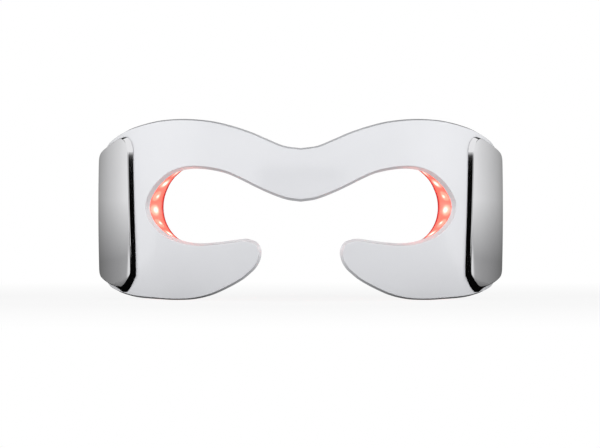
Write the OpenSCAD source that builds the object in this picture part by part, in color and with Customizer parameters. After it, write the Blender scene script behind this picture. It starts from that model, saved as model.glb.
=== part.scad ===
// A rigid light mask for the skin round the eyes: a curved band whose lower lobes run back
// under each eye, with a metal cover on each temple. Millimetres, +Z up, the front looks
// along -Y, and the mask stands on its lower edge with its middle on the YZ plane.
//
// Every piece is drawn flat and then wrapped round the head. A place on the mask is (s, v, n):
// s runs round the head from the middle, v runs upwards, and n stands out from the face side
// of the white shell, so n = 0 is the shell's front and the skin lies at negative n.

/* [Mask form] */
// Radius of the front in plan
front_r = 95; // [85:1:110]
// Half of the front's arc before it turns into the temple, in degrees
front_arc = 35; // [30:1:40]
// Radius of the turn from the front into the temple
side_r = 71; // [64:1:80]
// Radius of the band's upright curve
profile_r = 150; // [120:5:220]
// How much flatter than that the temples are, as a share
temple_flat = 0.85; // [0:0.05:0.9]
// Distance round the head where the upright curve starts to flatten
flat_start = 50; // [40:1:56]
// Distance over which it flattens
flat_run = 36; // [24:1:40]
// Height of the mask's middle above the surface that it stands on
mid_z = 37.7; // [37.7:0.1:42]
// Depth of the band from the shell's front to the back of the light window
band_depth = 9; // [8.8:0.1:11]
// Depth of each temple, where the battery and the control board lie
temple_depth = 12.4; // [12:0.1:14]

/* [Front shell] */
// Wall of the white shell
shell_wall = 1.8; // [1.4:0.1:2.2]
// Rounding of the shell's rim
rim_r = 1.5; // [1:0.1:2]
// Depth of the shell's rim
rim_depth = 1.9; // [1.8:0.1:2.6]
// Wall of the rim
rim_wall = 1.6; // [1.2:0.1:2]

/* [Light window] */
// Wall of the clear window
window_wall = 1.5; // [1.2:0.1:2]
// Step from the shell's edge in to the window's edge
window_step = 0.3; // [0.2:0.1:0.8]
// How far the inside of the window's sides leans in from the rim to the back
window_lean = 1.6; // [1.2:0.1:1.6]
// How far the outside of the window's and the housings' sides leans in
window_draft = 2.4; // [1.2:0.1:2.6]
// Distance round the head where the window ends and the temple housing starts
window_end = 78; // [77:0.5:79]
// Rounding of the window's and the housings' back edge
edge_round = 0.8; // [0.5:0.1:1.2]
// Gap between pieces that meet edge to edge
seam = 0.15; // [0.1:0.05:0.3]

/* [Temple housings] */
// Wall of the temple housings
temple_wall = 1.6; // [1.4:0.1:2]
// Distance round the head where the band starts to deepen into the temple
ramp_start = 52; // [50:1:60]
// Distance over which it deepens
temple_ramp = 30; // [20:1:36]
// Length of the strap slot
slot_len = 30; // [24:1:32]
// Width of the strap slot
slot_w = 4.6; // [4.2:0.1:6]
// Thickness of the strap loop
loop_t = 3; // [2.5:0.1:4]
// Width of the loop's rear bar
loop_bar = 4.5; // [3.5:0.5:6]
// Width of the loop's upper and lower ends
loop_end = 4; // [3:0.5:6]
// Distance from the shell's front plane in to the middle of the strap loop
loop_in = 6; // [5.5:0.1:6.5]
// Rounding of the strap loop's corners
loop_corner = 5; // [3:0.5:6]
// Rounding of the strap slot's corners
slot_corner = 1.2; // [0.5:0.1:2]
// Space between the housing's rear and the strap slot
slot_space = 1.2; // [1:0.1:2]
// Height of the strap loop's middle above the mask's middle
loop_v = -1.5; // [-2:0.5:0]
// Radius of the screw posts
post_r = 2.8; // [2.6:0.1:3.2]

/* [Temple covers] */
// Height of the cover's face above the shell
cover_rise = 2.4; // [2:0.1:3]
// Thickness of the cover's metal
cover_t = 1.1; // [0.8:0.1:1.4]
// How far the cover's sides lean out from the face to the foot
cover_lean = 0.9; // [0.3:0.1:1.2]
// How much further the foot drops at the cover's lower front corner
cover_drop = 1.3; // [0:0.1:1.4]
// Bevel round the cover's face
cover_bevel = 0.3; // [0.2:0.05:0.5]
// Gap between the cover's foot and the shell
cover_seat = 0.2; // [0.15:0.05:0.3]
// Radius of the cover's studs
stud_r = 1.5; // [1.4:0.1:1.8]
// Depth of the threaded bore in the studs
stud_bore = 4.5; // [4:0.1:5]
// Depth of the studs' ends below the shell's front
stud_end = 5; // [4.5:0.1:6]
// Free space round a stud, a screw or a spacer's pin
pin_gap = 0.05; // [0.03:0.01:0.1]

/* [Screws] */
// Radius of the screws' shank
screw_r = 0.95; // [0.8:0.05:1]
// Radius of the screws' head
screw_head_r = 1.9; // [1.7:0.1:2]
// Height of the screws' head
screw_head_h = 1.2; // [1:0.1:1.5]
// Depth of the seat of the screws' head below the shell's front
screw_seat = 9.4; // [9:0.1:10]
// Length of the screws' shank
screw_l = 6.6; // [6:0.1:7]
// Size of the cross recess in the screws' head
recess_l = 2.2; // [1.8:0.1:2.6]
// Width of the recess's arms
recess_w = 0.5; // [0.4:0.1:0.7]
// Depth of the recess
recess_h = 0.7; // [0.4:0.1:0.8]

/* [Lights] */
// Depth of the light boards' front below the shell's front
board_n = 3.4; // [3.2:0.1:3.6]
// Thickness of the light boards
board_t = 0.8; // [0.6:0.1:1]
// Distance from the window's edge in to the light boards
board_in = 2.7; // [2.7:0.1:3]
// Length of a light
led_l = 3.5; // [2.8:0.1:3.6]
// Width of a light
led_w = 2.8; // [2.2:0.1:3]
// Height of a light
led_h = 0.8; // [0.6:0.1:0.9]
// Distance of the lights from the edge of the band
led_in = 4.5; // [4.4:0.1:5]
// Depth of the dish in a light's face
led_dish = 0.25; // [0.1:0.05:0.4]
// Height of the solder between a light and its board
light_gap = 0.35; // [0.3:0.05:0.45]
// Distance between the lights along each row
led_pitch = 8; // [8:0.5:12]
// How far a spacer's shoulder reaches past its pin
spacer_lip = 0.8; // [0.5:0.1:1]
// How far the spacers' pins stand out of the light boards
pin_end = 0.5; // [0.3:0.1:0.8]

/* [Leads] */
// Width of the flat leads
lead_w = 8; // [6:0.5:9]
// Thickness of the flat leads
lead_t = 0.25; // [0.2:0.05:0.3]
// Height of the leads' middle line at the temples
lead_v = -2; // [-3:0.5:0]
// Height of the lead's middle line across the brow
brow_v = 13; // [12:0.5:14]
// Half of the brow lead's length
brow_reach = 11.5; // [10.5:0.5:12]
// Free space beside a lead in its notch
notch_gap = 0.75; // [0.5:0.05:1]
// Depth of the notch that lets a lead into the temple
notch_h = 1.4; // [1.2:0.1:1.8]

/* [Battery and control board] */
// Width of the battery
battery_w = 26; // [22:1:27]
// Height of the battery
battery_h = 40; // [34:1:41]
// Thickness of the battery
battery_t = 4.4; // [3.8:0.1:4.5]
// Width of the battery's foam
foam_w = 12; // [8:1:14]
// Height of the battery's foam
foam_h = 24; // [16:1:28]
// Width of the battery's guard board
guard_w = 3.6; // [3:0.1:3.8]
// Height of the guard board
guard_h = 20; // [18:1:24]
// Thickness of the parts on the guard board
guard_part_t = 1.8; // [1:0.1:2]
// Depth of the battery's middle below the shell's front
battery_n = 6.6; // [6.5:0.1:6.8]
// Place of the battery and the control board round the head
pack_s = 101; // [100:0.5:102]
// Thickness of the control board
control_t = 1; // [0.8:0.1:1.2]
// Width of the control board
control_w = 20; // [19:0.5:20]
// Height of the control board above its middle
control_up = 22.5; // [22:0.1:23]
// Height of the control board below its middle
control_down = 29.5; // [29:0.1:29.8]
// Depth of the control board's middle below the shell's front
control_n = 5; // [4.9:0.1:5.3]
// Radius of the pegs that hold the control board
peg_r = 1; // [0.8:0.1:1.2]
// Width of the lead's connector
connector_w = 4; // [3:0.1:4.2]
// Thickness of the connector
connector_t = 1.2; // [1:0.1:1.3]
// How far the connector reaches past the lead on each side
connector_lip = 0.8; // [0.5:0.1:1]
// Radius of the control board's coil
coil_r = 2; // [1.5:0.1:2.4]
// Thickness of the coil
coil_t = 1.6; // [1.2:0.1:2]
// Width of the charging socket
socket_w = 8.9; // [8.6:0.1:9.2]
// Depth of the charging socket
socket_d = 7.3; // [6.5:0.1:7.5]
// Height of the charging socket
socket_h = 3.2; // [3:0.1:3.4]
// Wall of the charging socket
socket_wall = 0.3; // [0.25:0.05:0.4]
// Free space round the charging socket
socket_gap = 0.25; // [0.15:0.05:0.35]
// Width of the socket's contact tongue
tongue_w = 6.7; // [6:0.1:7]
// Thickness of the contact tongue
tongue_t = 0.7; // [0.6:0.05:0.8]
// Height of the charging socket's mouth, from the mask's middle
socket_mouth = -32; // [-32.2:0.1:-31.6]

/* [Button] */
// Length of the power button
button_l = 8; // [7:0.5:9]
// Width of the power button
button_w = 4.2; // [3.6:0.1:4.6]
// Travel of the power button
button_travel = 0.6; // [0.4:0.1:0.8]
// Free space round the power button
button_gap = 0.1; // [0.08:0.01:0.15]
// Width of the button's flange inside the housing
button_flange = 0.7; // [0.5:0.1:0.9]
// Thickness of the button's flange
flange_h = 0.8; // [0.6:0.1:1]
// How far the button stands out of its landing in the housing
button_stand = 0.7; // [0.6:0.1:0.9]
// Free space round the button on that landing
button_land = 0.8; // [0.6:0.1:1]
// Width of the button's switch
switch_w = 6; // [5:0.5:6]
// Height of the switch
switch_h = 3.6; // [3.2:0.1:3.8]
// Thickness of the switch
switch_t = 3.4; // [3.2:0.1:3.6]
// Radius of the switch's plunger
plunger_r = 1.2; // [1:0.1:1.3]
// Distance from the control board's middle line to the button
button_x = -4; // [-4.5:0.1:-3.5]
// Height of the button's top above the mask's middle
button_top = 29.2; // [29:0.1:29.4]
// Radius of the charge light's pipe
light_r = 0.9; // [0.7:0.1:1.1]
// Length of the charge light's pipe
light_l = 5.2; // [5:0.1:5.4]
// Height of the pipe's lower end above the mask's middle
light_y = 22.3; // [22.2:0.1:22.5]
// Size of the light under the pipe
light_led = 1.2; // [1:0.1:1.2]
// Distance from the control board's middle line to the charge light
light_x = 4; // [3.5:0.5:5]

/* [Cushions] */
// Thickness of the silicone pads
pad_t = 3; // [2:0.5:4]
// Bevel round the pads' face
pad_bevel = 1; // [0.5:0.1:1.4]

/* [Hidden] */
$fn = 48;
deg = 180 / PI;
front_run = front_r * front_arc / deg;
side_run = side_r * (90 - front_arc) / deg;

// Edges of the band on the wearer's left, as (s, v): below the lobe, round the temple and
// over the brow to the middle. The opening's edge has one place for each of theirs.
lobe_edge = [[20.5, -26.1], [25, -29.5], [32, -33.1], [40, -36.2], [49, -38], [59, -38.4],
    [68, -38]];
temple_low = [[window_end, -37.4], [86, -36.5], [96, -35.2], [106, -33.2], [116, -29.4],
    [125, -20.5]];
temple_rear = [[129, -9], [129, 5]];
temple_high = [[125, 17], [116, 24.8], [106, 28.5], [96, 30.9], [86, 33.2], [window_end, 34.8]];
brow_edge = [[70, 36.3], [64, 37.1], [55.5, 37.5], [47, 37.1], [38, 36], [29.5, 34],
    [21.5, 31.5], [14, 28.4], [7, 25.6], [0, 24.6]];
opening_edge = [[20, -13.1], [23.5, -12.5], [30, -13.3], [36, -14], [42, -14.4], [48, -14.1],
    [54, -12.7], [59.5, -10.7], [63.2, -8.4], [66.2, -5.9], [68.2, -3.6], [69.1, -1.8],
    [69.5, -0.4], [69.6, 0.6], [69.5, 1.6], [69.2, 2.9], [68.5, 4.3], [67.2, 6.1], [64.9, 8.7],
    [61.7, 11.3], [57.5, 13.9], [52.5, 15.6], [47.5, 16.3], [42.5, 16.2], [37, 15.5], [31, 14.1],
    [25, 11.6], [19, 8.7], [12.5, 5.8], [6, 3.5], [0, 2.6]];
// Handles of the curve round the lobe's tip
tip_handles = [[15.6, -22], [14.6, -14.5]];
// Heights at which the window's edge runs up between the lobe and the brow
window_side = [-28, -19, -11.5, -6, -2, 0.5, 3, 6.5, 11, 16, 22, 29];

// Edges of the temple cover's face, from the front to the rear
cover_low = [[78, -24.5], [78.2, -27.4], [80.8, -30.2], [83.7, -32.4], [86.2, -32.9],
    [92, -32.4], [99, -31.3], [106, -30], [113, -28.7], [119.5, -26.4], [123.8, -22.4]];
cover_high = [[79.8, 22], [80.1, 25], [81.4, 27.5], [83.9, 29.1], [87, 29.2], [92, 27.9],
    [99, 26.2], [106, 24.8], [113, 23.3], [119.5, 20.8], [123.8, 17]];
cover_front_handles = [[77.9, -8], [78.8, 8]];
cover_rear_handles = [[127, -14], [127, 8]];
// Places of the cover's studs
studs = [[87, 25], [87, -27], [120.5, -3]];

// Heading, and place in plan, at the distance d round either side of the head
function heading(d) = d <= front_run ? d / front_r * deg
    : min(90, front_arc + (d - front_run) / side_r * deg);
function plan_x(d) = d <= front_run ? front_r * sin(heading(d))
    : front_r * sin(front_arc) + side_r * (sin(heading(d)) - sin(front_arc));
function plan_y(d) = d <= front_run ? front_r * (1 - cos(heading(d)))
    : front_r * (1 - cos(front_arc)) + side_r * (cos(front_arc) - cos(heading(d)))
    + max(0, d - front_run - side_run);

// The rear of the strap loops, and half of the mask's depth
slot_front = plan_y(temple_rear[0].x) + slot_space;
loop_rear = slot_front + slot_w + loop_bar;
mid_y = loop_rear / 2;
// The strap loop's front end, inside the housing, and its distance from the middle plane
loop_front = plan_y(temple_low[5].x) - 4;
loop_x = plan_x(front_run + side_run) - loop_in;

// The point in space of a place (s, v, n)
function smooth(t) = t <= 0 ? 0 : t >= 1 ? 1 : t * t * (3 - 2 * t);
function bow(s) = 1 - temple_flat * smooth((abs(s) - flat_start) / flat_run);
function turn(v) = v / profile_r * deg;
function tilt(s, v) = bow(s) * turn(v);
function out(s, v, n) = bow(s) * profile_r * (cos(turn(v)) - 1) + n * cos(tilt(s, v));
function wrap(s, v, n) = [
    sign(s) * (plan_x(abs(s)) + out(s, v, n) * sin(heading(abs(s)))),
    plan_y(abs(s)) - out(s, v, n) * cos(heading(abs(s))) - mid_y,
    mid_z + profile_r * sin(turn(v)) + n * sin(tilt(s, v))];

// Puts a piece at a place, with its X round the head, its Y up and its Z standing out
module at(s, v, n)
    translate(wrap(s, v, n)) rotate([90 - tilt(s, v), 0, sign(s) * heading(abs(s))])
        children();

// How much deeper the temple is than the band
function deepen(s) = (temple_depth - band_depth) * smooth((abs(s) - ramp_start) / temple_ramp);
// How far the cover's foot drops, most of all at its lower front corner
function drop(s, v) = cover_drop * smooth((drop_start - v) / drop_run)
    * smooth((drop_end - s) / drop_run);
drop_start = -26;
drop_end = 95;
drop_run = 8;

// A smooth curve through the places p, with extra places between them
function curve_at(p, i, t) =
    let (a = i > 0 ? p[i - 1] : 2 * p[0] - p[1],
        b = p[i],
        c = p[i + 1],
        d = i + 2 < len(p) ? p[i + 2] : 2 * c - b)
    b + (c - a) * t / 2 + (2 * a - 5 * b + 4 * c - d) * t * t / 2
    + (3 * b - a - 3 * c + d) * t * t * t / 2;
function curve(p, sub) = concat([for (i = [0 : len(p) - 2], k = [0 : sub - 1])
    curve_at(p, i, k / sub)], [p[len(p) - 1]]);

// The places strictly between p and q, straight or on a curve with two handles
function between(p, q, count) = [for (i = [1 : 1 : count - 1]) p + (q - p) * i / count];
function arc(p, h, q, count) = [for (i = [1 : 1 : count - 1]) let (t = i / count, u = 1 - t)
    p * u * u * u + 3 * h[0] * u * u * t + 3 * h[1] * u * t * t + q * t * t * t];
function reversed(p) = [for (i = [len(p) - 1 : -1 : 0]) p[i]];
function part_of(p, from, to) = [for (i = [from : to]) p[i]];
function rest(p) = part_of(p, 1, len(p) - 1);
function flipped(p) = [for (q = p) [-q.x, q.y]];
// A half outline that ends on the middle line, carried on to the other side
function both_sides(p) = concat(p, flipped(reversed(part_of(p, 0, len(p) - 2))));

// Moves an outline in by d, or by e on the line where the window and a temple meet
function edge_normal(p, q) = [p.y - q.y, q.x - p.x] / norm(q - p);
function on_seam(p, q) = abs(abs(p.x) - window_end) < 0.5 && abs(abs(q.x) - window_end) < 0.5;
function moved_in(o, p, q, d, e) =
    let (m = edge_normal(o, p),
        n = edge_normal(p, q),
        a = on_seam(o, p) ? e : d,
        b = on_seam(p, q) ? e : d,
        c = cross(m, n))
    abs(c) < 0.2 ? p + (m * a + n * b) / (1 + m * n)
    : p + [a * n.y - b * m.y, b * m.x - a * n.x] / c;
function inset(p, d, e) = [for (i = [0 : len(p) - 1])
    moved_in(p[(i + len(p) - 1) % len(p)], p[i], p[(i + 1) % len(p)], d, e)];

// A wrapped solid between two edges. low and high are its edges as places (s, v), counted the
// same way, and first and last its ends from low to high. Each row of section is a ring round
// the outline, from the front's border to the back's: its inset, its n, its inset where window
// and temple meet, 1 if it follows the temple's greater depth, and 1 if it drops at the
// cover's lower front corner.
module wrapped(low, high, first, last, section) {
    rows = len(low) - 1;
    cols = len(first) + 1;
    ring = 2 * (rows + cols);
    outline = concat(low, last, reversed(high), reversed(first));
    function edge(r) = inset(outline, r[0], is_undef(r[2]) ? r[0] : r[2]);
    function place(p, r) = wrap(p.x, p.y - (r[4] == 1 ? drop(p.x, p.y) : 0),
        r[1] - (r[3] == 1 ? deepen(p.x) : 0));
    rings = [for (r = section) [for (p = edge(r)) place(p, r)]];
    function inner(r) = let (e = edge(r)) [for (i = [1 : rows - 1], j = [1 : 1 : cols - 1])
        place(e[i] + (e[2 * rows + cols - i] - e[i]) * j / cols, r)];
    function corner(i, j, border, fill) =
        j == 0 ? border + i
        : j == cols ? border + 2 * rows + cols - i
        : i == 0 ? border + ring - j
        : i == rows ? border + rows + j
        : fill + (i - 1) * (cols - 1) + j - 1;
    back = (len(section) - 1) * ring;
    fill = len(section) * ring;
    fill_back = fill + (rows - 1) * (cols - 1);
    function quad(a, b, c, d) = [[a, b, c], [a, c, d]];
    front_faces = [for (i = [0 : rows - 1], j = [0 : cols - 1]) each quad(
        corner(i, j, 0, fill), corner(i, j + 1, 0, fill),
        corner(i + 1, j + 1, 0, fill), corner(i + 1, j, 0, fill))];
    back_faces = [for (i = [0 : rows - 1], j = [0 : cols - 1]) each quad(
        corner(i, j, back, fill_back), corner(i + 1, j, back, fill_back),
        corner(i + 1, j + 1, back, fill_back), corner(i, j + 1, back, fill_back))];
    side_faces = [for (k = [0 : len(section) - 2], i = [0 : ring - 1]) let (e = (i + 1) % ring)
        each quad(k * ring + i, k * ring + e, (k + 1) * ring + e, (k + 1) * ring + i)];
    polyhedron(concat([for (r = rings) each r], inner(section[0]),
        inner(section[len(section) - 1])), concat(front_faces, back_faces, side_faces));
}

// Flat outlines with round corners
module rounded(w, h, r) {
    square([w - 2 * r, h], center = true);
    square([w, h - 2 * r], center = true);
    for (x = [-1, 1], y = [-1, 1]) translate([x * (w / 2 - r), y * (h / 2 - r)]) circle(r);
}
module pill(w, h) rounded(w, h, min(w, h) / 2 - 0.01);
module block(w, h, t, r) linear_extrude(t) rounded(w, h, r);

// The band's edges, and the window's, from the lobe's tip to the middle of the brow
outer_line = concat(lobe_edge, temple_low, temple_rear, temple_high, brow_edge);
window_low = concat(lobe_edge, [temple_low[0]]);
window_rise = concat([temple_low[0]], [for (v = window_side) [window_end, v]], [temple_high[5]]);
window_high = concat([temple_high[5]], brow_edge);
window_line = concat(window_low, part_of(window_rise, 1, 12), window_high);
function smooth_window(sub) = concat(curve(window_low, sub), rest(curve(window_rise, sub)),
    rest(curve(window_high, sub)));
function blend(p, q, f) = [for (i = [0 : len(p) - 1]) p[i] + (q[i] - p[i]) * f];

window_top = rim_depth + seam;
window_in = window_step + window_wall;
temple_in = window_step + temple_wall;
post_top = shell_wall + 2 * seam;
post_foot = temple_depth - temple_wall / 2;
board_back = board_n + board_t;
board_drop = temple_depth + 0.4 - control_n;
tip_cols = 6;
window_cols = 3;
temple_cols = 6;
board_pegs = [[-6.5, -17], [6.5, 13]];

// Heights above the mask's middle, and depths behind the control board's middle
socket_z = -(control_t + socket_h) / 2;
button_z = -control_t / 2 - switch_t / 2;
button_land_y = button_top - button_stand;
button_boss_y = button_top - 4.4;
flange_y = button_boss_y - seam - flange_h;
switch_y = flange_y - 2 * button_travel;
plunger_in = 1.4;

// Ends of the flat leads: under the light boards, at the connector and at the guard board
lead_n = board_n - seam;
lead_start = opening_edge[13].x + board_in + 0.3;
control_end = pack_s - control_w / 2 - 0.6;
battery_end = pack_s - battery_w / 2 - 3;
foam_t = temple_depth - temple_wall - battery_n - battery_t / 2 - seam;

// Chips on the control board: place, width, height, thickness and pins on each side
chips = [[1, -2, 7, 7, 1, 8], [3, -15, 4, 5, 0.9, 4], [-5, 10, 4, 5, 0.9, 4]];
// Place of its coil
coil_at = [-4, -9];
// Its small parts: place, width, height and thickness
small_parts = concat([for (k = [0 : 5]) [7, -12 + 4 * k, 1.6, 0.8, 0.8]],
    [for (k = [0 : 4]) [-1 + 2 * k, 18, 0.8, 1.6, 0.8]], [[-4, -22, 4, 4, 1.2]]);

module both() {
    children();
    mirror([1, 0, 0]) children();
}

// White shell: a curved plate with a rounded rim that turns back over the window
module front_shell() color("white") {
    low = curve(outer_line, 2);
    high = curve(opening_edge, 2);
    tip = arc(low[0], tip_handles, high[0], tip_cols);
    r = rim_r;
    difference() {
        wrapped(both_sides(low), both_sides(high), tip, flipped(tip), [[r, 0],
            [r * (1 - sin(45)), -r * (1 - cos(45))], [0, -r], [0, -rim_depth],
            [rim_wall, -rim_depth], [rim_wall, -shell_wall]]);
        both() for (p = studs)
            at(p.x, p.y, -2 * shell_wall) cylinder(r = stud_r + pin_gap, h = 4 * shell_wall);
    }
}

// Clear window: a tray behind the shell whose sides lean in towards the skin
module light_window() color([1, 0.62, 0.58, 0.6]) difference() {
    low = smooth_window(2);
    high = curve(opening_edge, 2);
    tip = arc(low[0], tip_handles, high[0], window_cols);
    wrapped(both_sides(low), both_sides(high), tip, flipped(tip), [
        [window_in + window_lean, window_wall - band_depth, window_wall, 1],
        [window_in, -window_top, window_wall],
        [window_step, -window_top, 0],
        [window_step + window_draft * 0.85, edge_round - band_depth, 0, 1],
        [window_step + window_draft + edge_round / 2, -band_depth, 0, 1]]);
    both() lead_notch();
}
module lead_notch() at(window_end, lead_v, -window_top)
    cube([4 * window_wall, lead_w + 2 * notch_gap, 2 * notch_h], center = true);

// Temple housings: deeper trays behind the covers. Their children stay solid inside them.
module temple_tray() {
    low = curve(concat([[window_end + seam, temple_low[0].y]], rest(temple_low)), 2);
    high = curve(reversed(concat(part_of(temple_high, 0, 4),
        [[window_end + seam, temple_high[5].y]])), 2);
    rear = curve(concat([temple_low[5]], temple_rear, [temple_high[0]]), 2);
    first = between(low[0], high[0], temple_cols);
    last = part_of(rear, 1, temple_cols - 1);
    difference() {
        wrapped(low, high, first, last, [
            [window_step, -window_top, 0],
            [window_step + window_draft * 0.85, edge_round - band_depth, 0, 1],
            [window_step + window_draft + edge_round / 2, -band_depth, 0, 1]]);
        difference() {
            wrapped(low, high, first, last, [
                [temple_in, 1 - window_top, temple_wall],
                [temple_in, -window_top, temple_wall],
                [temple_in + window_lean, temple_wall - band_depth, temple_wall, 1]]);
            children();
        }
        lead_notch();
    }
}
module temple_back(boss = false) difference() {
    union() {
        temple_tray() if (boss) at_board() button_boss();
        for (p = studs) at(p.x, p.y, -post_foot) cylinder(r = post_r, h = post_foot - post_top);
        strap_loop();
    }
    for (p = studs) {
        at(p.x, p.y, -2 * temple_depth) cylinder(r = screw_r + pin_gap, h = 2 * temple_depth);
        at(p.x, p.y, -2 * temple_depth)
            cylinder(r = screw_head_r + pin_gap, h = 2 * temple_depth - screw_seat);
        at(p.x, p.y, -stud_end - pin_gap) cylinder(r = stud_r + pin_gap, h = stud_end);
    }
}

// Strap loop: a flat ear that runs straight back from the housing's rear wall
module strap_loop() translate([loop_x, -mid_y, mid_z + loop_v]) rotate([90, 0, 90])
    translate([0, 0, -loop_t / 2]) linear_extrude(loop_t) difference() {
        translate([(loop_front + loop_rear) / 2, 0])
            rounded(loop_rear - loop_front, slot_len + 2 * loop_end, loop_corner);
        translate([slot_front + slot_w / 2, 0]) rounded(slot_w, slot_len, slot_corner);
    }

// The places of the control board and of the battery, with Y upright
module at_board() at(pack_s, 0, -control_n) children();
module at_battery() mirror([1, 0, 0]) at(pack_s, 0, -battery_n) children();

module temple_back_left() color("whitesmoke") difference() {
    union() {
        temple_back(true);
        at_board() for (p = board_pegs) translate([p.x, p.y, -board_drop])
            cylinder(r = peg_r + 1, h = board_drop - control_t / 2);
        at_board() for (p = board_pegs) translate([p.x, p.y, -control_t])
            cylinder(r = peg_r, h = control_t + 1);
    }
    at_board() {
        button_pill(button_gap, button_boss_y - 3, 2 * button_top);
        button_pill(button_land, button_land_y, 2 * button_top);
        translate([light_x, 0, button_z]) rotate([-90, 0, 0])
            cylinder(r = light_r + pin_gap, h = 2 * button_top);
        translate([0, socket_mouth + socket_d - 1, socket_z]) rotate([90, 0, 0])
            linear_extrude(3 * socket_d) pill(socket_w + 2 * socket_gap, socket_h + 2 * socket_gap);
    }
}
module temple_back_right() color("whitesmoke") mirror([1, 0, 0]) temple_back();
// Pill-shaped pocket or cap for the button, wider by w than the button, from y up to top
module button_pill(w, y, top) translate([button_x, y, button_z]) rotate([-90, 0, 0])
    linear_extrude(top - y) pill(button_l + 2 * w, button_w + 2 * w);
module button_boss() translate([button_x - button_l / 2 - 3, button_boss_y, -temple_depth])
    cube([light_x - button_x + button_l / 2 + light_r + 3.6, temple_depth, temple_depth + 4]);

// Temple covers: thin metal pressings with studs that the housing's screws pull in
module temple_cover() color("silver") difference() {
    low = curve(cover_low, 2);
    high = curve(cover_high, 2);
    union() {
        wrapped(low, high, arc(cover_low[0], cover_front_handles, cover_high[0], 6),
            arc(cover_low[10], cover_rear_handles, cover_high[10], 6), [
            [cover_bevel, cover_rise],
            [0, cover_rise - cover_bevel],
            [-cover_lean, cover_seat, -cover_lean, 0, 1],
            [cover_t - cover_lean, cover_seat, cover_t - cover_lean, 0, 1],
            [cover_t, cover_rise - cover_t]]);
        for (p = studs) at(p.x, p.y, -stud_end)
            cylinder(r = stud_r, h = stud_end + cover_rise - cover_t / 2);
    }
    for (p = studs) at(p.x, p.y, -stud_end - 1)
        cylinder(r = screw_r + pin_gap, h = 1 + stud_bore);
}
module temple_cover_left() temple_cover();
module temple_cover_right() mirror([1, 0, 0]) temple_cover();

// Screws from the skin side: a flat head with a cross recess
module housing_screws() color("dimgray") both() for (p = studs)
    at(p.x, p.y, -screw_seat) difference() {
        union() {
            translate([0, 0, -screw_head_h]) cylinder(r = screw_head_r, h = screw_head_h);
            cylinder(r = screw_r, h = screw_l);
        }
        for (a = [0, 90]) rotate([0, 0, a]) translate([0, 0, -screw_head_h])
            cube([recess_l, recess_w, 2 * recess_h], center = true);
    }

// Light boards: one white strip for each half, round the opening from the lobe to the brow
module led_board() color("ivory") difference() {
    low = part_of(window_line, 0, 29);
    high = part_of(opening_edge, 0, 29);
    wrapped(low, high, arc(low[0], tip_handles, high[0], 2), between(low[29], high[29], 2),
        [[board_in, -board_n, board_in], [board_in, -board_back, board_in]]);
    for (i = spacer_places) at(band_mid(i).x, band_mid(i).y, -board_back - 1)
        cylinder(r = peg_r + pin_gap, h = board_t + 2);
}
module led_board_left() led_board();
module led_board_right() mirror([1, 0, 0]) led_board();

// Lights stand in a row along each edge of the band: each second one infrared, and the
// ones between them in turn red and amber
function lengths(p, i = 0, sum = [0]) = i == len(p) - 1 ? sum
    : lengths(p, i + 1, concat(sum, [sum[i] + norm(p[i + 1] - p[i])]));
function step_at(l, d) = len([for (x = l) if (x <= d) x]) - 1;
function spaced(p, from, pitch) =
    let (l = lengths(p), n = floor((l[len(l) - 1] - from) / pitch))
    [for (k = [0 : n]) let (d = from + k * pitch, i = min(step_at(l, d), len(p) - 2),
        e = p[i + 1] - p[i])
        concat(p[i] + e * (d - l[i]) / norm(e), [atan2(e.y, e.x)])];
function row_along(p, d) = [for (i = [1 : len(p) - 2])
    p[i] + edge_normal(p[i - 1], p[i + 1]) * d];
lights = concat(
    spaced(row_along(curve(opening_edge, 2), -led_in), 3, led_pitch),
    spaced(row_along(curve(lobe_edge, 2), led_in), 3, led_pitch),
    spaced(row_along(curve(window_high, 2), led_in), 5, led_pitch));
module light() translate([0, 0, -led_h]) difference() {
    translate([-led_l / 2, -led_w / 2, 0]) cube([led_l, led_w, led_h]);
    translate([0, 0, -1]) cylinder(r = led_w / 2 - 0.4, h = 1 + led_dish, $fn = 24);
}
module lights_of(from, step) both() for (i = [from : step : len(lights) - 1])
    at(lights[i].x, lights[i].y, -board_back - light_gap) rotate([0, 0, lights[i].z]) light();
module red_lights() color("red") lights_of(1, 4);
module infrared_lights() color("darkred") lights_of(0, 2);
module amber_lights() color("orange") lights_of(3, 4);

// Spacers carry the light boards off the window's floor on pins
spacer_places = [3, 22, 25, 28];
function band_mid(i) = (window_line[i] + opening_edge[i]) / 2;
module board_spacers() color("gainsboro") both() for (i = spacer_places)
    at(band_mid(i).x, band_mid(i).y, 0) {
        translate([0, 0, window_wall - band_depth + seam])
            cylinder(r = peg_r + spacer_lip, h = band_depth - window_wall - board_back - 2 * seam);
        translate([0, 0, window_wall - band_depth + seam])
            cylinder(r = peg_r, h = band_depth - window_wall - board_n + pin_end);
    }

// Flat leads: one across the brow, one to the control board and one to the battery
module lead(from, to, v, rows) wrapped(
    [for (i = [0 : rows]) [from + (to - from) * i / rows, v - lead_w / 2]],
    [for (i = [0 : rows]) [from + (to - from) * i / rows, v + lead_w / 2]], [], [],
    [[0, lead_t - lead_n], [0, -lead_n]]);
module brow_lead() color("darkorange") lead(-brow_reach, brow_reach, brow_v, 6);
module control_lead() color("darkorange") lead(lead_start, control_end, lead_v, 6);
module battery_lead() color("darkorange") mirror([1, 0, 0])
    lead(lead_start, battery_end, lead_v, 4);

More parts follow.
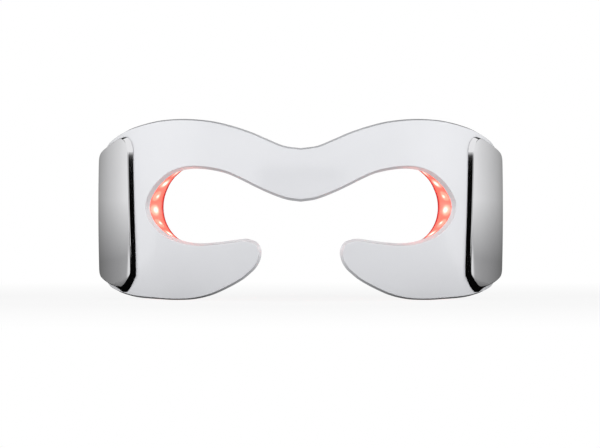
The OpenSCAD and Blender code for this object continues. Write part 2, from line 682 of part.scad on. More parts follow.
// Battery pouch, its foam and its small guard board
module battery() color("lightsteelblue") at_battery() {
    translate([0, 0, -battery_t / 2])
        block(battery_w, battery_h, battery_t, 1.5);
    translate([0, battery_h / 2, 0]) cube([battery_w - 4, 3, 0.4], center = true);
}
module battery_foam() color("dimgray") at_battery()
    translate([0, 0, -battery_t / 2 - foam_t]) block(foam_w, foam_h, foam_t, 1);
module battery_guard() color("green") mirror([1, 0, 0])
    at(battery_end - 0.5, lead_v, -board_back) {
        block(guard_w, guard_h, board_t - 2 * pin_gap, 0.6);
        for (k = [-2 : 2]) translate([-0.6, k * guard_h / 5.7, -guard_part_t / 2])
            cube([guard_w / 2, guard_h / 10, guard_part_t], center = true);
    }

// Control board with its chips and its small parts
module control_board() color("darkgreen") at_board() translate([0, 0, -control_t / 2])
    difference() {
        linear_extrude(control_t) polygon([[-control_w / 2, -control_down + 4.5],
            [-control_w / 2 + 3.5, -control_down], [control_w / 2 - 4, -control_down],
            [control_w / 2, -control_down + 6.5], [control_w / 2, control_up - 6.5],
            [control_w / 2 - 4, control_up], [-control_w / 2, control_up]]);
        for (p = board_pegs) translate([p.x, p.y, -1])
            cylinder(r = peg_r + pin_gap, h = control_t + 2);
    }
module chip(w, h, t, pins) {
    cube([w, h, t], center = true);
    for (k = [0 : pins - 1], x = [-1, 1])
        translate([x * (w / 2 + 0.3), (k - (pins - 1) / 2) * h / pins, -t / 4])
            cube([0.7, 0.3, t / 2], center = true);
}
module board_chips() color("black") at_board() {
    for (c = chips) translate([c[0], c[1], -(control_t + c[4]) / 2])
        rotate([180, 0, 0]) chip(c[2], c[3], c[4], c[5]);
    translate([control_end + connector_w / 2 + 0.8 - pack_s, lead_v, (control_t + connector_t) / 2])
        cube([connector_w, lead_w + 2 * connector_lip, connector_t], center = true);
}
module board_parts() color("tan") at_board() {
    for (c = small_parts) translate([c[0], c[1], -(control_t + c[4]) / 2])
        cube([c[2], c[3], c[4]], center = true);
    translate([coil_at.x, coil_at.y, -control_t / 2 - coil_t]) cylinder(r = coil_r, h = coil_t);
    translate([light_x, light_y - light_led / 2 - 0.2, button_z])
        cube([2 * light_r, light_led, 2 * light_led], center = true);
}

// Charging socket: a round-ended metal tube with a contact tongue, open downwards
module at_socket() at_board() translate([0, socket_mouth, socket_z]) rotate([-90, 0, 0])
    children();
module charge_socket() color("silver") at_socket() difference() {
    linear_extrude(socket_d) pill(socket_w, socket_h);
    translate([0, 0, -1]) linear_extrude(socket_d - socket_wall + 1)
        pill(socket_w - 2 * socket_wall, socket_h - 2 * socket_wall);
}
module socket_tongue() color("black") at_socket() translate([-tongue_w / 2, -tongue_t / 2, 1])
    cube([tongue_w, tongue_t, socket_d - socket_wall - 1]);

// Button: a switch on the control board, its plunger, and the cap that rides on it
module button_switch() color("black") at_board() difference() {
    translate([button_x - switch_w / 2, switch_y - switch_h, -control_t / 2 - switch_t])
        cube([switch_w, switch_h, switch_t]);
    translate([button_x, switch_y - plunger_in - 1, button_z]) rotate([-90, 0, 0])
        cylinder(r = plunger_r + button_gap, h = switch_h);
}
module switch_plunger() color("gray") at_board()
    translate([button_x, switch_y - plunger_in, button_z]) rotate([-90, 0, 0])
        cylinder(r = plunger_r, h = flange_y - switch_y + plunger_in);
module power_button() color("white") at_board() {
    button_pill(0, flange_y, button_top);
    button_pill(button_flange, flange_y, flange_y + flange_h);
}
module charge_light() color("lightgreen") at_board()
    translate([light_x, light_y, button_z]) rotate([-90, 0, 0]) cylinder(r = light_r, h = light_l);

// Silicone pads between the window and the skin
function pad_line(from, to, f) = blend(part_of(window_line, from, to),
    part_of(opening_edge, from, to), f);
module pad(low, high) wrapped(low, high, between(low[0], high[0], 2),
    between(low[len(low) - 1], high[len(high) - 1], 2), [[0, -band_depth - seam, 0, 1],
    [0, pad_bevel - band_depth - pad_t, 0, 1], [pad_bevel, -band_depth - pad_t, pad_bevel, 1]]);
module brow_pad() color("lightgray")
    pad(both_sides(pad_line(23, 30, 0.25)), both_sides(pad_line(23, 30, 0.65)));
module cheek_pad() color("lightgray")
    pad(curve(pad_line(1, 6, 0.28), 2), curve(pad_line(1, 6, 0.68), 2));
module cheek_pad_left() cheek_pad();
module cheek_pad_right() mirror([1, 0, 0]) cheek_pad();

front_shell();
light_window();
temple_back_left();
temple_back_right();
temple_cover_left();
temple_cover_right();
housing_screws();
led_board_left();
led_board_right();
red_lights();
amber_lights();
infrared_lights();
board_spacers();
brow_lead();
control_lead();
battery_lead();
battery();
battery_foam();
battery_guard();
control_board();
board_chips();
board_parts();
charge_socket();
socket_tongue();
button_switch();
switch_plunger();
power_button();
charge_light();
brow_pad();
cheek_pad_left();
cheek_pad_right();
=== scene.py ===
import math

import bmesh
import bpy
import numpy as np
from mathutils import Matrix, Vector


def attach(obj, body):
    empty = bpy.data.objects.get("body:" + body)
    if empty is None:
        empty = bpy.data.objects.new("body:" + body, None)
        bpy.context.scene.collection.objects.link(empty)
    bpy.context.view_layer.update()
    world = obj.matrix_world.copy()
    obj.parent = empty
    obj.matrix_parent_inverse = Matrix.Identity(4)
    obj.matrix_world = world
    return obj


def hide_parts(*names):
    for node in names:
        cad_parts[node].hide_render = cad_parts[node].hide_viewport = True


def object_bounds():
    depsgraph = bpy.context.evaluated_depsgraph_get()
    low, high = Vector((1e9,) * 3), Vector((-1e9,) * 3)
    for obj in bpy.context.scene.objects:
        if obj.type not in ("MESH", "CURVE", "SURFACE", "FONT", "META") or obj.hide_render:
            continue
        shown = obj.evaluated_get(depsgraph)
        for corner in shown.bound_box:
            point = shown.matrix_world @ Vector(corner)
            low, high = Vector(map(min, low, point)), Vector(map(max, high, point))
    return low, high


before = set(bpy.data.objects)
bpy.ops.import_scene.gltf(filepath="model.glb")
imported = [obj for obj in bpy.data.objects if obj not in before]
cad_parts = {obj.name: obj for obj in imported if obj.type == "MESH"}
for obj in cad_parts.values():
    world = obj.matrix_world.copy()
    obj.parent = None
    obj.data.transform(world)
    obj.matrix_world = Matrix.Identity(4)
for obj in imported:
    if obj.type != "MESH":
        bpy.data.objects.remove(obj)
cadBox = [list(corner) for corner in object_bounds()]
scene = bpy.context.scene
mm = 0.001
print("frame loaded,", len(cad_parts), "nodes")

# The mask's form in millimetres and degrees, the same as the solids'. A place on the mask is
# (s, v, n): s runs round the head from the middle, v upwards, n out from the shell's front.
form = {
    "frontRadius": 95.0, "frontArc": 35.0, "sideRadius": 71.0,
    "profileRadius": 150.0, "templeFlat": 0.85, "flatStart": 50.0, "flatRun": 36.0,
    "midHeight": 37.7, "halfDepth": cadBox[1][1] / mm,
    "bandDepth": 9.0, "templeDepth": 12.4, "rampStart": 52.0, "rampRun": 30.0,
    "windowEnd": 78.0, "seam": 0.15, "seamReach": 0.5, "touch": 0.01,
    "softTurn": 0.2, "crownRun": 0.12,
}
frontRun = form["frontRadius"] * math.radians(form["frontArc"])

# Edges of the band on the wearer's left, as (s, v)
lobeEdge = [(20.5, -26.1), (25, -29.5), (32, -33.1), (40, -36.2), (49, -38), (59, -38.4), (68, -38)]
templeLow = [(form["windowEnd"], -37.4), (86, -36.5), (96, -35.2), (106, -33.2), (116, -29.4),
             (125, -20.5)]
templeRear = [(129, -9), (129, 5)]
templeHigh = [(125, 17), (116, 24.8), (106, 28.5), (96, 30.9), (86, 33.2), (form["windowEnd"], 34.8)]
browEdge = [(70, 36.3), (64, 37.1), (55.5, 37.5), (47, 37.1), (38, 36), (29.5, 34), (21.5, 31.5),
            (14, 28.4), (7, 25.6), (0, 24.6)]
openingEdge = [(20, -13.1), (23.5, -12.5), (30, -13.3), (36, -14), (42, -14.4), (48, -14.1),
               (54, -12.7), (59.5, -10.7), (63.2, -8.4), (66.2, -5.9), (68.2, -3.6), (69.1, -1.8),
               (69.5, -0.4), (69.6, 0.6), (69.5, 1.6), (69.2, 2.9), (68.5, 4.3), (67.2, 6.1),
               (64.9, 8.7), (61.7, 11.3), (57.5, 13.9), (52.5, 15.6), (47.5, 16.3), (42.5, 16.2),
               (37, 15.5), (31, 14.1), (25, 11.6), (19, 8.7), (12.5, 5.8), (6, 3.5), (0, 2.6)]
tipHandles = [(15.6, -22), (14.6, -14.5)]
windowRise = [-28, -19, -11.5, -6, -2, 0.5, 3, 6.5, 11, 16, 22, 29]
studs = [(87, 25), (87, -27), (120.5, -3)]


def smoothStep(t):
    t = np.clip(t, 0, 1)
    return t * t * (3 - 2 * t)


def heading(s):
    # angle of the wall's outward direction, away from straight ahead
    a = np.abs(s)
    side = math.radians(form["frontArc"]) + (a - frontRun) / form["sideRadius"]
    return np.where(a <= frontRun, a / form["frontRadius"], np.minimum(math.pi / 2, side))


def bowAt(s):
    # how much of the profile's bow is left, all of it in front and little at the temples
    return 1 - form["templeFlat"] * smoothStep((np.abs(s) - form["flatStart"]) / form["flatRun"])


def wrapPoints(s, v, n):
    # places on the mask to points in metres
    s, v, n = (np.asarray(x, float) for x in (s, v, n))
    turn = heading(s)
    arc = math.radians(form["frontArc"])
    r1, r2 = form["frontRadius"], form["sideRadius"]
    onSide = np.abs(s) > frontRun
    x = np.where(onSide, r1 * math.sin(arc) + r2 * (np.sin(turn) - math.sin(arc)), r1 * np.sin(turn))
    straight = np.maximum(0, np.abs(s) - frontRun - r2 * (math.pi / 2 - arc))
    y = np.where(onSide, r1 * (1 - math.cos(arc)) + r2 * (math.cos(arc) - np.cos(turn)) + straight,
                 r1 * (1 - np.cos(turn)))
    bow = bowAt(s)
    lean = v / form["profileRadius"]
    out = bow * form["profileRadius"] * (np.cos(lean) - 1) + n * np.cos(bow * lean)
    z = form["midHeight"] + form["profileRadius"] * np.sin(lean) + n * np.sin(bow * lean)
    return mm * np.stack([np.sign(s) * (x + out * np.sin(turn)),
                          y - out * np.cos(turn) - form["halfDepth"], z], axis=-1)


def placeAt(s, v, n):
    # matrix of a place: X round the head, Y up, Z standing out of the wall
    turn = math.copysign(float(heading(s)), s)
    tilt = float(bowAt(s)) * v / form["profileRadius"]
    spin = Matrix.Rotation(turn, 4, "Z") @ Matrix.Rotation(math.pi / 2 - tilt, 4, "X")
    return Matrix.Translation(Vector(wrapPoints(s, v, n))) @ spin


def deepen(s):
    ramp = smoothStep((np.abs(s) - form["rampStart"]) / form["rampRun"])
    return (form["templeDepth"] - form["bandDepth"]) * ramp


def curveThrough(points, steps):
    # smooth curve through the points, with steps pieces between two of them
    p = np.array(points, float)
    p = np.vstack([2 * p[0] - p[1], p, 2 * p[-1] - p[-2]])
    t = (np.arange(steps) / steps)[None, :, None]
    a, b, c, d = (p[k:len(p) - 3 + k][:, None] for k in range(4))
    part = (b + (c - a) * t / 2 + (2 * a - 5 * b + 4 * c - d) * t ** 2 / 2
            + (3 * b - a - 3 * c + d) * t ** 3 / 2)
    return np.vstack([part.reshape(-1, 2), p[-2]])


def curveWithHandles(p, handles, q, count):
    # the points strictly between p and q
    t = (np.arange(1, count) / count)[:, None]
    p, a, b, q = (np.array(x, float) for x in (p, handles[0], handles[1], q))
    return p * (1 - t) ** 3 + 3 * a * t * (1 - t) ** 2 + 3 * b * t ** 2 * (1 - t) + q * t ** 3


def straightBetween(p, q, count, margin=None):
    # the points strictly between p and q, where asked none nearer to them than the margin
    t = np.arange(1, count) / count
    if margin:
        share = margin / math.dist(p, q)
        t = np.linspace(share, 1 - share, count - 1)
    return np.array(p) + (np.array(q) - np.array(p)) * t[:, None]


def bothSides(half):
    # a half outline that ends on the middle line, carried on to the other side
    return np.vstack([half, half[-2::-1] * [-1, 1]])


def sideOf(d):
    # directions a quarter turn to the left of some steps
    return np.stack([-d[:, 1], d[:, 0]], axis=1) / np.linalg.norm(d, axis=1)[:, None]


def insetLoop(loop, amount, seamAmount):
    # moves a closed outline inwards, by its own amount on the line where window and temple meet
    before, after = np.roll(loop, 1, axis=0), np.roll(loop, -1, axis=0)

    def edge(p, q):
        away = np.abs(np.abs(np.stack([p[:, 0], q[:, 0]])) - form["windowEnd"]).max(0)
        return sideOf(q - p), np.where(away < form["seamReach"], seamAmount, amount)

    m, a = edge(before, loop)
    k, b = edge(loop, after)
    turn = m[:, 0] * k[:, 1] - m[:, 1] * k[:, 0]
    isSoft = np.abs(turn) < form["softTurn"]
    soft = (m * a[:, None] + k * b[:, None]) / (1 + (m * k).sum(1))[:, None]
    sharp = np.stack([a * k[:, 1] - b * m[:, 1], b * m[:, 0] - a * k[:, 0]], axis=1)
    sharp = sharp / np.where(isSoft, 1, turn)[:, None]
    return loop + np.where(isSoft[:, None], soft, sharp)


def wrappedSolid(name, low, high, first, last, section, crown=0.0, drop=None):
    # A closed solid between two edges. Each row of the section is a ring round the outline:
    # inset, n, inset at the seam, 1 where it follows the temple's depth, and its share of a drop.
    # Faces fill both ends, and the last one can be crowned.
    rows, cols = len(low) - 1, len(first) + 1
    ring = 2 * (rows + cols)
    loop = np.vstack([low, last, high[::-1], first[::-1]])
    points, edges = [], []
    for inset, n, seamInset, follows, *share in section:
        e = insetLoop(loop, inset, seamInset)
        if drop:
            e = e - share[0] * drop(e)
        edges.append(e)
        points.append(wrapPoints(e[:, 0], e[:, 1], n - follows * deepen(e[:, 0])))
    i = np.arange(1, rows)[:, None]
    j = np.arange(1, cols)[None, :]
    for k, bulge in ((0, 0.0), (len(section) - 1, crown)):
        e, (inset, n, seamInset, follows) = edges[k], section[k][:4]
        t = (j / cols)[..., None]
        inner = (e[i] + (e[2 * rows + cols - i] - e[i]) * t).reshape(-1, 2)
        endShare = np.minimum(i, rows - i) / (form["crownRun"] * rows)
        rise = (4 * t * (1 - t))[..., 0] * np.minimum(1, endShare)
        points.append(wrapPoints(inner[:, 0], inner[:, 1],
                                 n - follows * deepen(inner[:, 0]) - bulge * rise.reshape(-1)))
    fills = [len(section) * ring, len(section) * ring + (rows - 1) * (cols - 1)]

    def corner(a, b, border, fill):
        # a grid point of an end face, which on its border is one of the ring's points
        if b == 0:
            return border + a
        if b == cols:
            return border + 2 * rows + cols - a
        if a == 0:
            return border + ring - b
        if a == rows:
            return border + rows + b
        return fill + (a - 1) * (cols - 1) + b - 1

    faces = []
    back = (len(section) - 1) * ring
    for a in range(rows):
        for b in range(cols):
            quad = [(a, b), (a + 1, b), (a + 1, b + 1), (a, b + 1)]
            faces.append([corner(*q, 0, fills[0]) for q in quad])
            faces.append([corner(*q, back, fills[1]) for q in reversed(quad)])
    for k in range(len(section) - 1):
        for a in range(ring):
            b = (a + 1) % ring
            faces.append([k * ring + a, (k + 1) * ring + a, (k + 1) * ring + b, k * ring + b])
    mesh = bpy.data.meshes.new(name)
    mesh.from_pydata(np.vstack(points).tolist(), [], faces)
    return addObject(name, mesh)


def addObject(name, mesh):
    obj = bpy.data.objects.new(name, mesh)
    scene.collection.objects.link(obj)
    return obj


def smoothShade(obj, angle=35):
    obj.data.shade_smooth()
    obj.data.set_sharp_from_angle(angle=math.radians(angle))
    obj.data.update()


def edgeRows(radius, steps=5):
    # how far a round edge lies in from the side and down from the face, from face to side
    turns = [math.pi / 2 * k / steps for k in range(steps + 1)]
    return [(radius * (1 - math.sin(a)), radius * (1 - math.cos(a))) for a in turns]


def roundedRing(width, height, radius, points=8):
    # flat outline with round corners
    ring = []
    for k, (x, y) in enumerate(((1, 1), (-1, 1), (-1, -1), (1, -1))):
        for j in range(points + 1):
            a = math.pi / 2 * (k + j / points)
            ring.append((x * (width / 2 - radius) + radius * math.cos(a),
                         y * (height / 2 - radius) + radius * math.sin(a)))
    return ring


def circleRing(radius):
    return roundedRing(2 * radius, 2 * radius, radius)


def lift(ring, height, axis, middle=(0, 0)):
    # a flat ring's points at a height along an axis
    points = [[x + middle[0], y + middle[1]] for x, y in ring]
    for point in points:
        point.insert(axis, height)
    return points


def circleStack(rows, middle=(0, 0)):
    return [lift(circleRing(radius), height, 2, middle) for radius, height in rows]


def stackInto(bm, rings, matrix):
    # a closed solid through a row of rings, filled at both ends
    count = len(rings[0])
    rows = [[bm.verts.new(matrix @ (Vector(p) * mm)) for p in ring] for ring in rings]
    for end in (rows[0], rows[-1]):
        bm.faces.new(end)
    for a, b in zip(rows, rows[1:]):
        for k in range(count):
            bm.faces.new([a[k], a[(k + 1) % count], b[(k + 1) % count], b[k]])


def stackedSolid(name, stacks):
    # one mesh of several solids, each given as its rings and its place
    bm = bmesh.new()
    for rings, matrix in stacks:
        stackInto(bm, rings, matrix)
    bmesh.ops.remove_doubles(bm, verts=bm.verts, dist=0.000001)
    bmesh.ops.recalc_face_normals(bm, faces=bm.faces)
    mesh = bpy.data.meshes.new(name)
    bm.to_mesh(mesh)
    bm.free()
    return addObject(name, mesh)


def shapeWith(obj, operation, part):
    # joins a part to a piece or cuts it out of it
    modifier = obj.modifiers.new("shape", "BOOLEAN")
    modifier.operation = operation
    modifier.solver = "EXACT"
    modifier.object = part
    evaluated = obj.evaluated_get(bpy.context.evaluated_depsgraph_get())
    mesh = bpy.data.meshes.new_from_object(evaluated)
    obj.modifiers.clear()
    obj.data = mesh
    bpy.data.objects.remove(part)


def dress(obj, material, body="mask"):
    obj.data.materials.clear()
    obj.data.materials.append(material)
    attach(obj, body)


def mirrorMesh(mesh):
    # to the other side of the middle plane, with its faces turned back outwards
    mesh.transform(Matrix.Scale(-1, 4, (1, 0, 0)))
    mesh.flip_normals()
    return mesh


def mirrored(obj, name):
    return addObject(name, mirrorMesh(obj.data.copy()))


def dressPair(obj, otherName, finish, nodes):
    # dresses a piece of the wearer's left side and its twin on the right
    for piece, node in zip((obj, mirrored(obj, otherName)), nodes):
        dress(piece, finishes[finish])
        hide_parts(node)


# Shader tools: every material starts here, and the effects that several of them share are groups
def feed(tree, node, inputs):
    # links each of a node's inputs to a socket, or sets it to a plain value
    for key, value in inputs.items():
        socket = node.inputs[key]
        if isinstance(value, bpy.types.NodeSocket):
            tree.links.new(value, socket)
        else:
            socket.default_value = (*value, 1) if socket.type == "RGBA" else value
    return node


def addNode(tree, kind, inputs=None, **settings):
    node = tree.nodes.new(kind)
    for key, value in settings.items():
        setattr(node, key, value)
    return feed(tree, node, inputs or {})


def newMaterial(name, inputs):
    material = bpy.data.materials.new(name)
    material.use_nodes = True
    tree = material.node_tree
    return material, tree, feed(tree, tree.nodes["Principled BSDF"], inputs)


def newShaderGroup(name, inputs, outputs):
    group = bpy.data.node_groups.new(name, "ShaderNodeTree")
    for label, kind, value in inputs:
        socket = group.interface.new_socket(label, in_out="INPUT", socket_type="NodeSocket" + kind)
        if value is not None:
            socket.default_value = value
    for label, kind in outputs:
        group.interface.new_socket(label, in_out="OUTPUT", socket_type="NodeSocket" + kind)
    return group, group.nodes.new("NodeGroupInput"), group.nodes.new("NodeGroupOutput")


def noiseNode(tree, vector, scale, detail=3.0, roughness=0.55):
    return addNode(tree, "ShaderNodeTexNoise", {"Vector": vector, "Scale": scale, "Detail": detail,
                                                "Roughness": roughness}).outputs["Fac"]


def mapRange(tree, value, low, high, toLow=0.0, toHigh=1.0):
    return addNode(tree, "ShaderNodeMapRange", {
        "Value": value, "From Min": low, "From Max": high, "To Min": toLow,
        "To Max": toHigh}).outputs["Result"]


def spreadNoise(tree, noise, toLow=0.0, toHigh=1.0):
    # from the range where most of a noise lies
    return mapRange(tree, noise, 0.3, 0.7, toLow, toHigh)


def mathNode(tree, operation, a, b):
    return addNode(tree, "ShaderNodeMath", {0: a, 1: b}, operation=operation).outputs[0]


def times(tree, a, b):
    return mathNode(tree, "MULTIPLY", a, b)


def mixColors(tree, factor, a, b):
    return addNode(tree, "ShaderNodeMix", {0: factor, 6: a, 7: b}, data_type="RGBA").outputs[2]


def vectorOf(tree, x, y, z):
    return addNode(tree, "ShaderNodeCombineXYZ", {0: x, 1: y, 2: z}).outputs["Vector"]


def splitVector(tree, vector):
    return addNode(tree, "ShaderNodeSeparateXYZ", {"Vector": vector}).outputs


def objectSpace(tree):
    return tree.nodes.new("ShaderNodeTexCoord").outputs["Object"]


def mouldGroup():
    # moulded plastic: faint flow marks in the colour, fine skin, and smudges from handling
    group, source, target = newShaderGroup(
        "mouldedSkin",
        [("Vector", "Vector", None), ("Flow Scale", "Float", 30.0), ("Skin Scale", "Float", 900.0),
         ("Gloss Low", "Float", 0.1), ("Gloss High", "Float", 0.2)],
        [("Flow", "Float"), ("Roughness", "Float"), ("Height", "Float")])
    vector, flowScale, skinScale, glossLow, glossHigh = source.outputs[:5]
    flow = noiseNode(group, vector, flowScale, 2.0)
    smudge = noiseNode(group, vector, times(group, flowScale, 2.4), 5.0, 0.6)
    feed(group, target, {"Flow": spreadNoise(group, flow),
                         "Roughness": mapRange(group, smudge, 0.42, 0.68, glossLow, glossHigh),
                         "Height": noiseNode(group, vector, skinScale, 2.0)})
    return group


def hairlineGroup():
    # polished metal: very fine lines along one direction, with clouded patches
    group, source, target = newShaderGroup(
        "polishLines",
        [("Vector", "Vector", None), ("Line Scale", "Float", 1500.0), ("Cloud Scale", "Float", 40.0),
         ("Gloss Low", "Float", 0.1), ("Gloss High", "Float", 0.2)],
        [("Cloud", "Float"), ("Roughness", "Float"), ("Height", "Float")])
    vector, lineScale, cloudScale, glossLow, glossHigh = source.outputs[:5]
    stretch = addNode(group, "ShaderNodeMapping", {"Vector": vector, "Scale": (1.0, 1.0, 0.03)})
    cloud = noiseNode(group, vector, cloudScale, 4.0, 0.6)
    feed(group, target, {"Cloud": spreadNoise(group, cloud),
                         "Roughness": mapRange(group, cloud, 0.35, 0.7, glossLow, glossHigh),
                         "Height": noiseNode(group, stretch.outputs["Vector"], lineScale, 2.0, 0.7)})
    return group


shared = {"moulded": mouldGroup(), "polished": hairlineGroup()}


def useGroup(tree, key, values):
    return addNode(tree, "ShaderNodeGroup", {"Vector": objectSpace(tree), **values},
                   node_tree=shared[key]).outputs


def bumpInto(tree, shader, height, distance):
    bump = addNode(tree, "ShaderNodeBump", {"Height": height, "Distance": distance, "Strength": 1.0})
    feed(tree, shader, {"Normal": bump.outputs["Normal"]})


def mouldedPlastic(name, light, dark, gloss, coat=0.0, skin=900.0, depth=0.000004, more=None):
    material, tree, shader = newMaterial(name, {"Coat Weight": coat, "Coat Roughness": 0.04,
                                                **(more or {})})
    finish = useGroup(tree, "moulded", {"Skin Scale": skin, "Gloss Low": gloss[0],
                                        "Gloss High": gloss[1]})
    feed(tree, shader, {"Base Color": mixColors(tree, finish["Flow"], dark, light),
                        "Roughness": finish["Roughness"]})
    bumpInto(tree, shader, finish["Height"], depth)
    return material


def polishedMetal(name, light, dark, gloss, lines=1500.0, depth=0.000001):
    material, tree, shader = newMaterial(name, {"Metallic": 1.0})
    finish = useGroup(tree, "polished", {"Line Scale": lines, "Gloss Low": gloss[0],
                                         "Gloss High": gloss[1]})
    feed(tree, shader, {"Base Color": mixColors(tree, finish["Cloud"], dark, light),
                        "Roughness": finish["Roughness"]})
    bumpInto(tree, shader, finish["Height"], depth)
    return material


def attributeOf(tree, name):
    return addNode(tree, "ShaderNodeAttribute", attribute_name=name).outputs["Fac"]


def litClear(name, glow):
    # clear moulding with a painted glow: emission fills it with red where it is lit, almost white next
    # to each of the lights inside it
    material, tree, shader = newMaterial(name, {
        "IOR": 1.46, "Transmission Weight": glow["through"], "Emission Strength": glow["strength"]})
    skin = useGroup(tree, "moulded", {"Flow Scale": 120.0, "Gloss Low": 0.04, "Gloss High": 0.12})
    # lit, spot and rim lay on the painted glow: how lit each point is, its bright spots and its darker
    # back edge
    lit, spot, rim = (attributeOf(tree, key) for key in ("lit", "spot", "rim"))
    wall = mixColors(tree, skin["Flow"], glow["wallDark"], glow["wall"])
    around = mixColors(tree, mapRange(tree, lit, 0.1, 1.0), glow["dim"], wall)
    bright = mixColors(tree, spot, around, glow["spot"])
    # painted red light in the base colour where it is lit
    clear = mixColors(tree, lit, glow["clear"], glow["litRed"])
    # the back edge is painted a darker red in both glow and base colour
    feed(tree, shader, {"Emission Color": mixColors(tree, rim, bright, glow["edge"]),
                        "Base Color": mixColors(tree, rim, clear, glow["edge"]),
                        "Roughness": skin["Roughness"]})
    bumpInto(tree, shader, skin["Height"], 0.000004)
    return material


def lamp(name, body, light, strength):
    # a small light's misted lens
    material, tree, shader = newMaterial(name, {"Roughness": 0.25, "Emission Strength": strength})
    mist = spreadNoise(tree, noiseNode(tree, objectSpace(tree), 900.0))
    pale = tuple(0.7 + 0.3 * c for c in light)
    feed(tree, shader, {"Base Color": mixColors(tree, mist, body, light),
                        "Emission Color": mixColors(tree, mist, light, pale)})
    return material


def circuitBoard(name, mask, maskDark, trace):
    # solder mask with copper tracks that show through it as slightly raised lines
    material, tree, shader = newMaterial(name, {})
    coordinates = objectSpace(tree)
    turned = addNode(tree, "ShaderNodeMapping", {"Vector": coordinates,
                                                 "Rotation": (math.pi / 2, 0, 0)})
    tracks = addNode(tree, "ShaderNodeTexBrick", {
        "Vector": turned.outputs["Vector"], "Scale": 120.0, "Mortar Size": 0.012}).outputs["Fac"]
    weave = noiseNode(tree, coordinates, 500.0)
    ground = mixColors(tree, spreadNoise(tree, weave), maskDark, mask)
    feed(tree, shader, {"Base Color": mixColors(tree, tracks, ground, trace),
                        "Roughness": mapRange(tree, weave, 0.2, 0.8, 0.3, 0.5)})
    bumpInto(tree, shader, tracks, 0.00002)
    return material


def flatLead(name):
    # polyimide film with copper tracks along it
    material, tree, shader = newMaterial(name, {"Roughness": 0.3})
    wave = addNode(tree, "ShaderNodeTexWave", {"Vector": objectSpace(tree), "Scale": 500.0},
                   bands_direction="Z")
    tracks = mapRange(tree, wave.outputs["Fac"], 0.45, 0.55)
    feed(tree, shader, {"Base Color": mixColors(tree, tracks, (0.62, 0.27, 0.04), (0.85, 0.5, 0.2))})
    bumpInto(tree, shader, tracks, 0.00002)
    return material


# Colours of the window's painted glow: emission on the walls, the dim parts, bright spots by the lights
# and a darker red back edge, and the painted red light in its base colour where it is lit
windowGlow = {
    "edge": (0.3, 0.004, 0.006), "dim": (0.03, 0.001, 0.001), "wall": (0.8, 0.26, 0.215),
    "wallDark": (0.74, 0.17, 0.13), "spot": (1.9, 1.65, 1.4), "litRed": (0.95, 0.2, 0.15),
    "clear": (0.97, 0.91, 0.9), "through": 0.45, "strength": 0.75,
}
finishes = {
    "shell": mouldedPlastic("glossWhiteShell", (0.785, 0.792, 0.82), (0.76, 0.767, 0.795),
                            (0.16, 0.24), coat=0.6),
    "housing": mouldedPlastic("satinWhiteHousing", (0.78, 0.785, 0.80), (0.74, 0.745, 0.765),
                              (0.3, 0.42), skin=1600.0, depth=0.00001),
    "cover": polishedMetal("platedCover", (0.80, 0.80, 0.815), (0.76, 0.76, 0.775), (0.05, 0.09)),
    "window": litClear("litClearWindow", windowGlow),
    "board": circuitBoard("whiteSolderMask", (0.86, 0.84, 0.8), (0.8, 0.78, 0.74), (0.9, 0.72, 0.45)),
    "greenBoard": circuitBoard("greenSolderMask", (0.03, 0.22, 0.09), (0.02, 0.17, 0.07),
                               (0.1, 0.42, 0.16)),
    "lightBody": mouldedPlastic("lightCarrier", (0.85, 0.83, 0.78), (0.8, 0.78, 0.72), (0.4, 0.5)),
    "redLens": lamp("redLens", (0.9, 0.2, 0.12), (1.0, 0.16, 0.08), 6.0),
    "amberLens": lamp("amberLens", (0.95, 0.6, 0.25), (1.0, 0.5, 0.16), 6.0),
    "infraredLens": lamp("infraredLens", (0.35, 0.05, 0.05), (0.6, 0.04, 0.03), 2.0),
    "screw": polishedMetal("screwSteel", (0.5, 0.5, 0.52), (0.38, 0.38, 0.4), (0.25, 0.4)),
    "socket": polishedMetal("socketSteel", (0.68, 0.68, 0.7), (0.58, 0.58, 0.6), (0.2, 0.32)),
    "silicone": mouldedPlastic("padSilicone", (0.74, 0.74, 0.76), (0.69, 0.69, 0.71), (0.5, 0.62),
                               skin=700.0, depth=0.00004,
                               more={"Subsurface Weight": 0.15, "Subsurface Scale": 0.003}),
    "button": mouldedPlastic("buttonWhite", (0.76, 0.765, 0.78), (0.72, 0.725, 0.745), (0.12, 0.2),
                             coat=0.4),
    "black": mouldedPlastic("blackPlastic", (0.03, 0.03, 0.033), (0.018, 0.018, 0.02), (0.35, 0.5)),
    "tan": mouldedPlastic("ceramicTan", (0.5, 0.38, 0.22), (0.4, 0.3, 0.18), (0.4, 0.5)),
    "nylon": mouldedPlastic("nylonWhite", (0.78, 0.77, 0.72), (0.72, 0.71, 0.66), (0.4, 0.5)),
    "foam": mouldedPlastic("greyFoam", (0.06, 0.06, 0.065), (0.03, 0.03, 0.034), (0.8, 0.95),
                           skin=2500.0, depth=0.0001),
    "foil": polishedMetal("pouchFoil", (0.7, 0.71, 0.73), (0.6, 0.61, 0.64), (0.3, 0.45), lines=300.0,
                          depth=0.00002),
    "lead": flatLead("polyimideLead"),
    "pipe": lamp("lightPipe", (0.7, 0.85, 0.72), (0.5, 0.9, 0.55), 0.3),
    "plunger": mouldedPlastic("greyPlunger", (0.3, 0.3, 0.3), (0.24, 0.24, 0.24), (0.4, 0.5)),
}
print("materials made,", len(finishes))

# White shell: the curved plate with a crisp edge and a leaning rim
shell = {"wall": 1.8, "lean": 0.85, "edge": 0.3, "hold": 0.1, "foot": 0.12, "rimRows": 4,
         "rimDepth": 1.9, "rimWall": 1.6, "steps": 8, "columns": 20}
outerLine = lobeEdge + templeLow + templeRear + templeHigh + browEdge


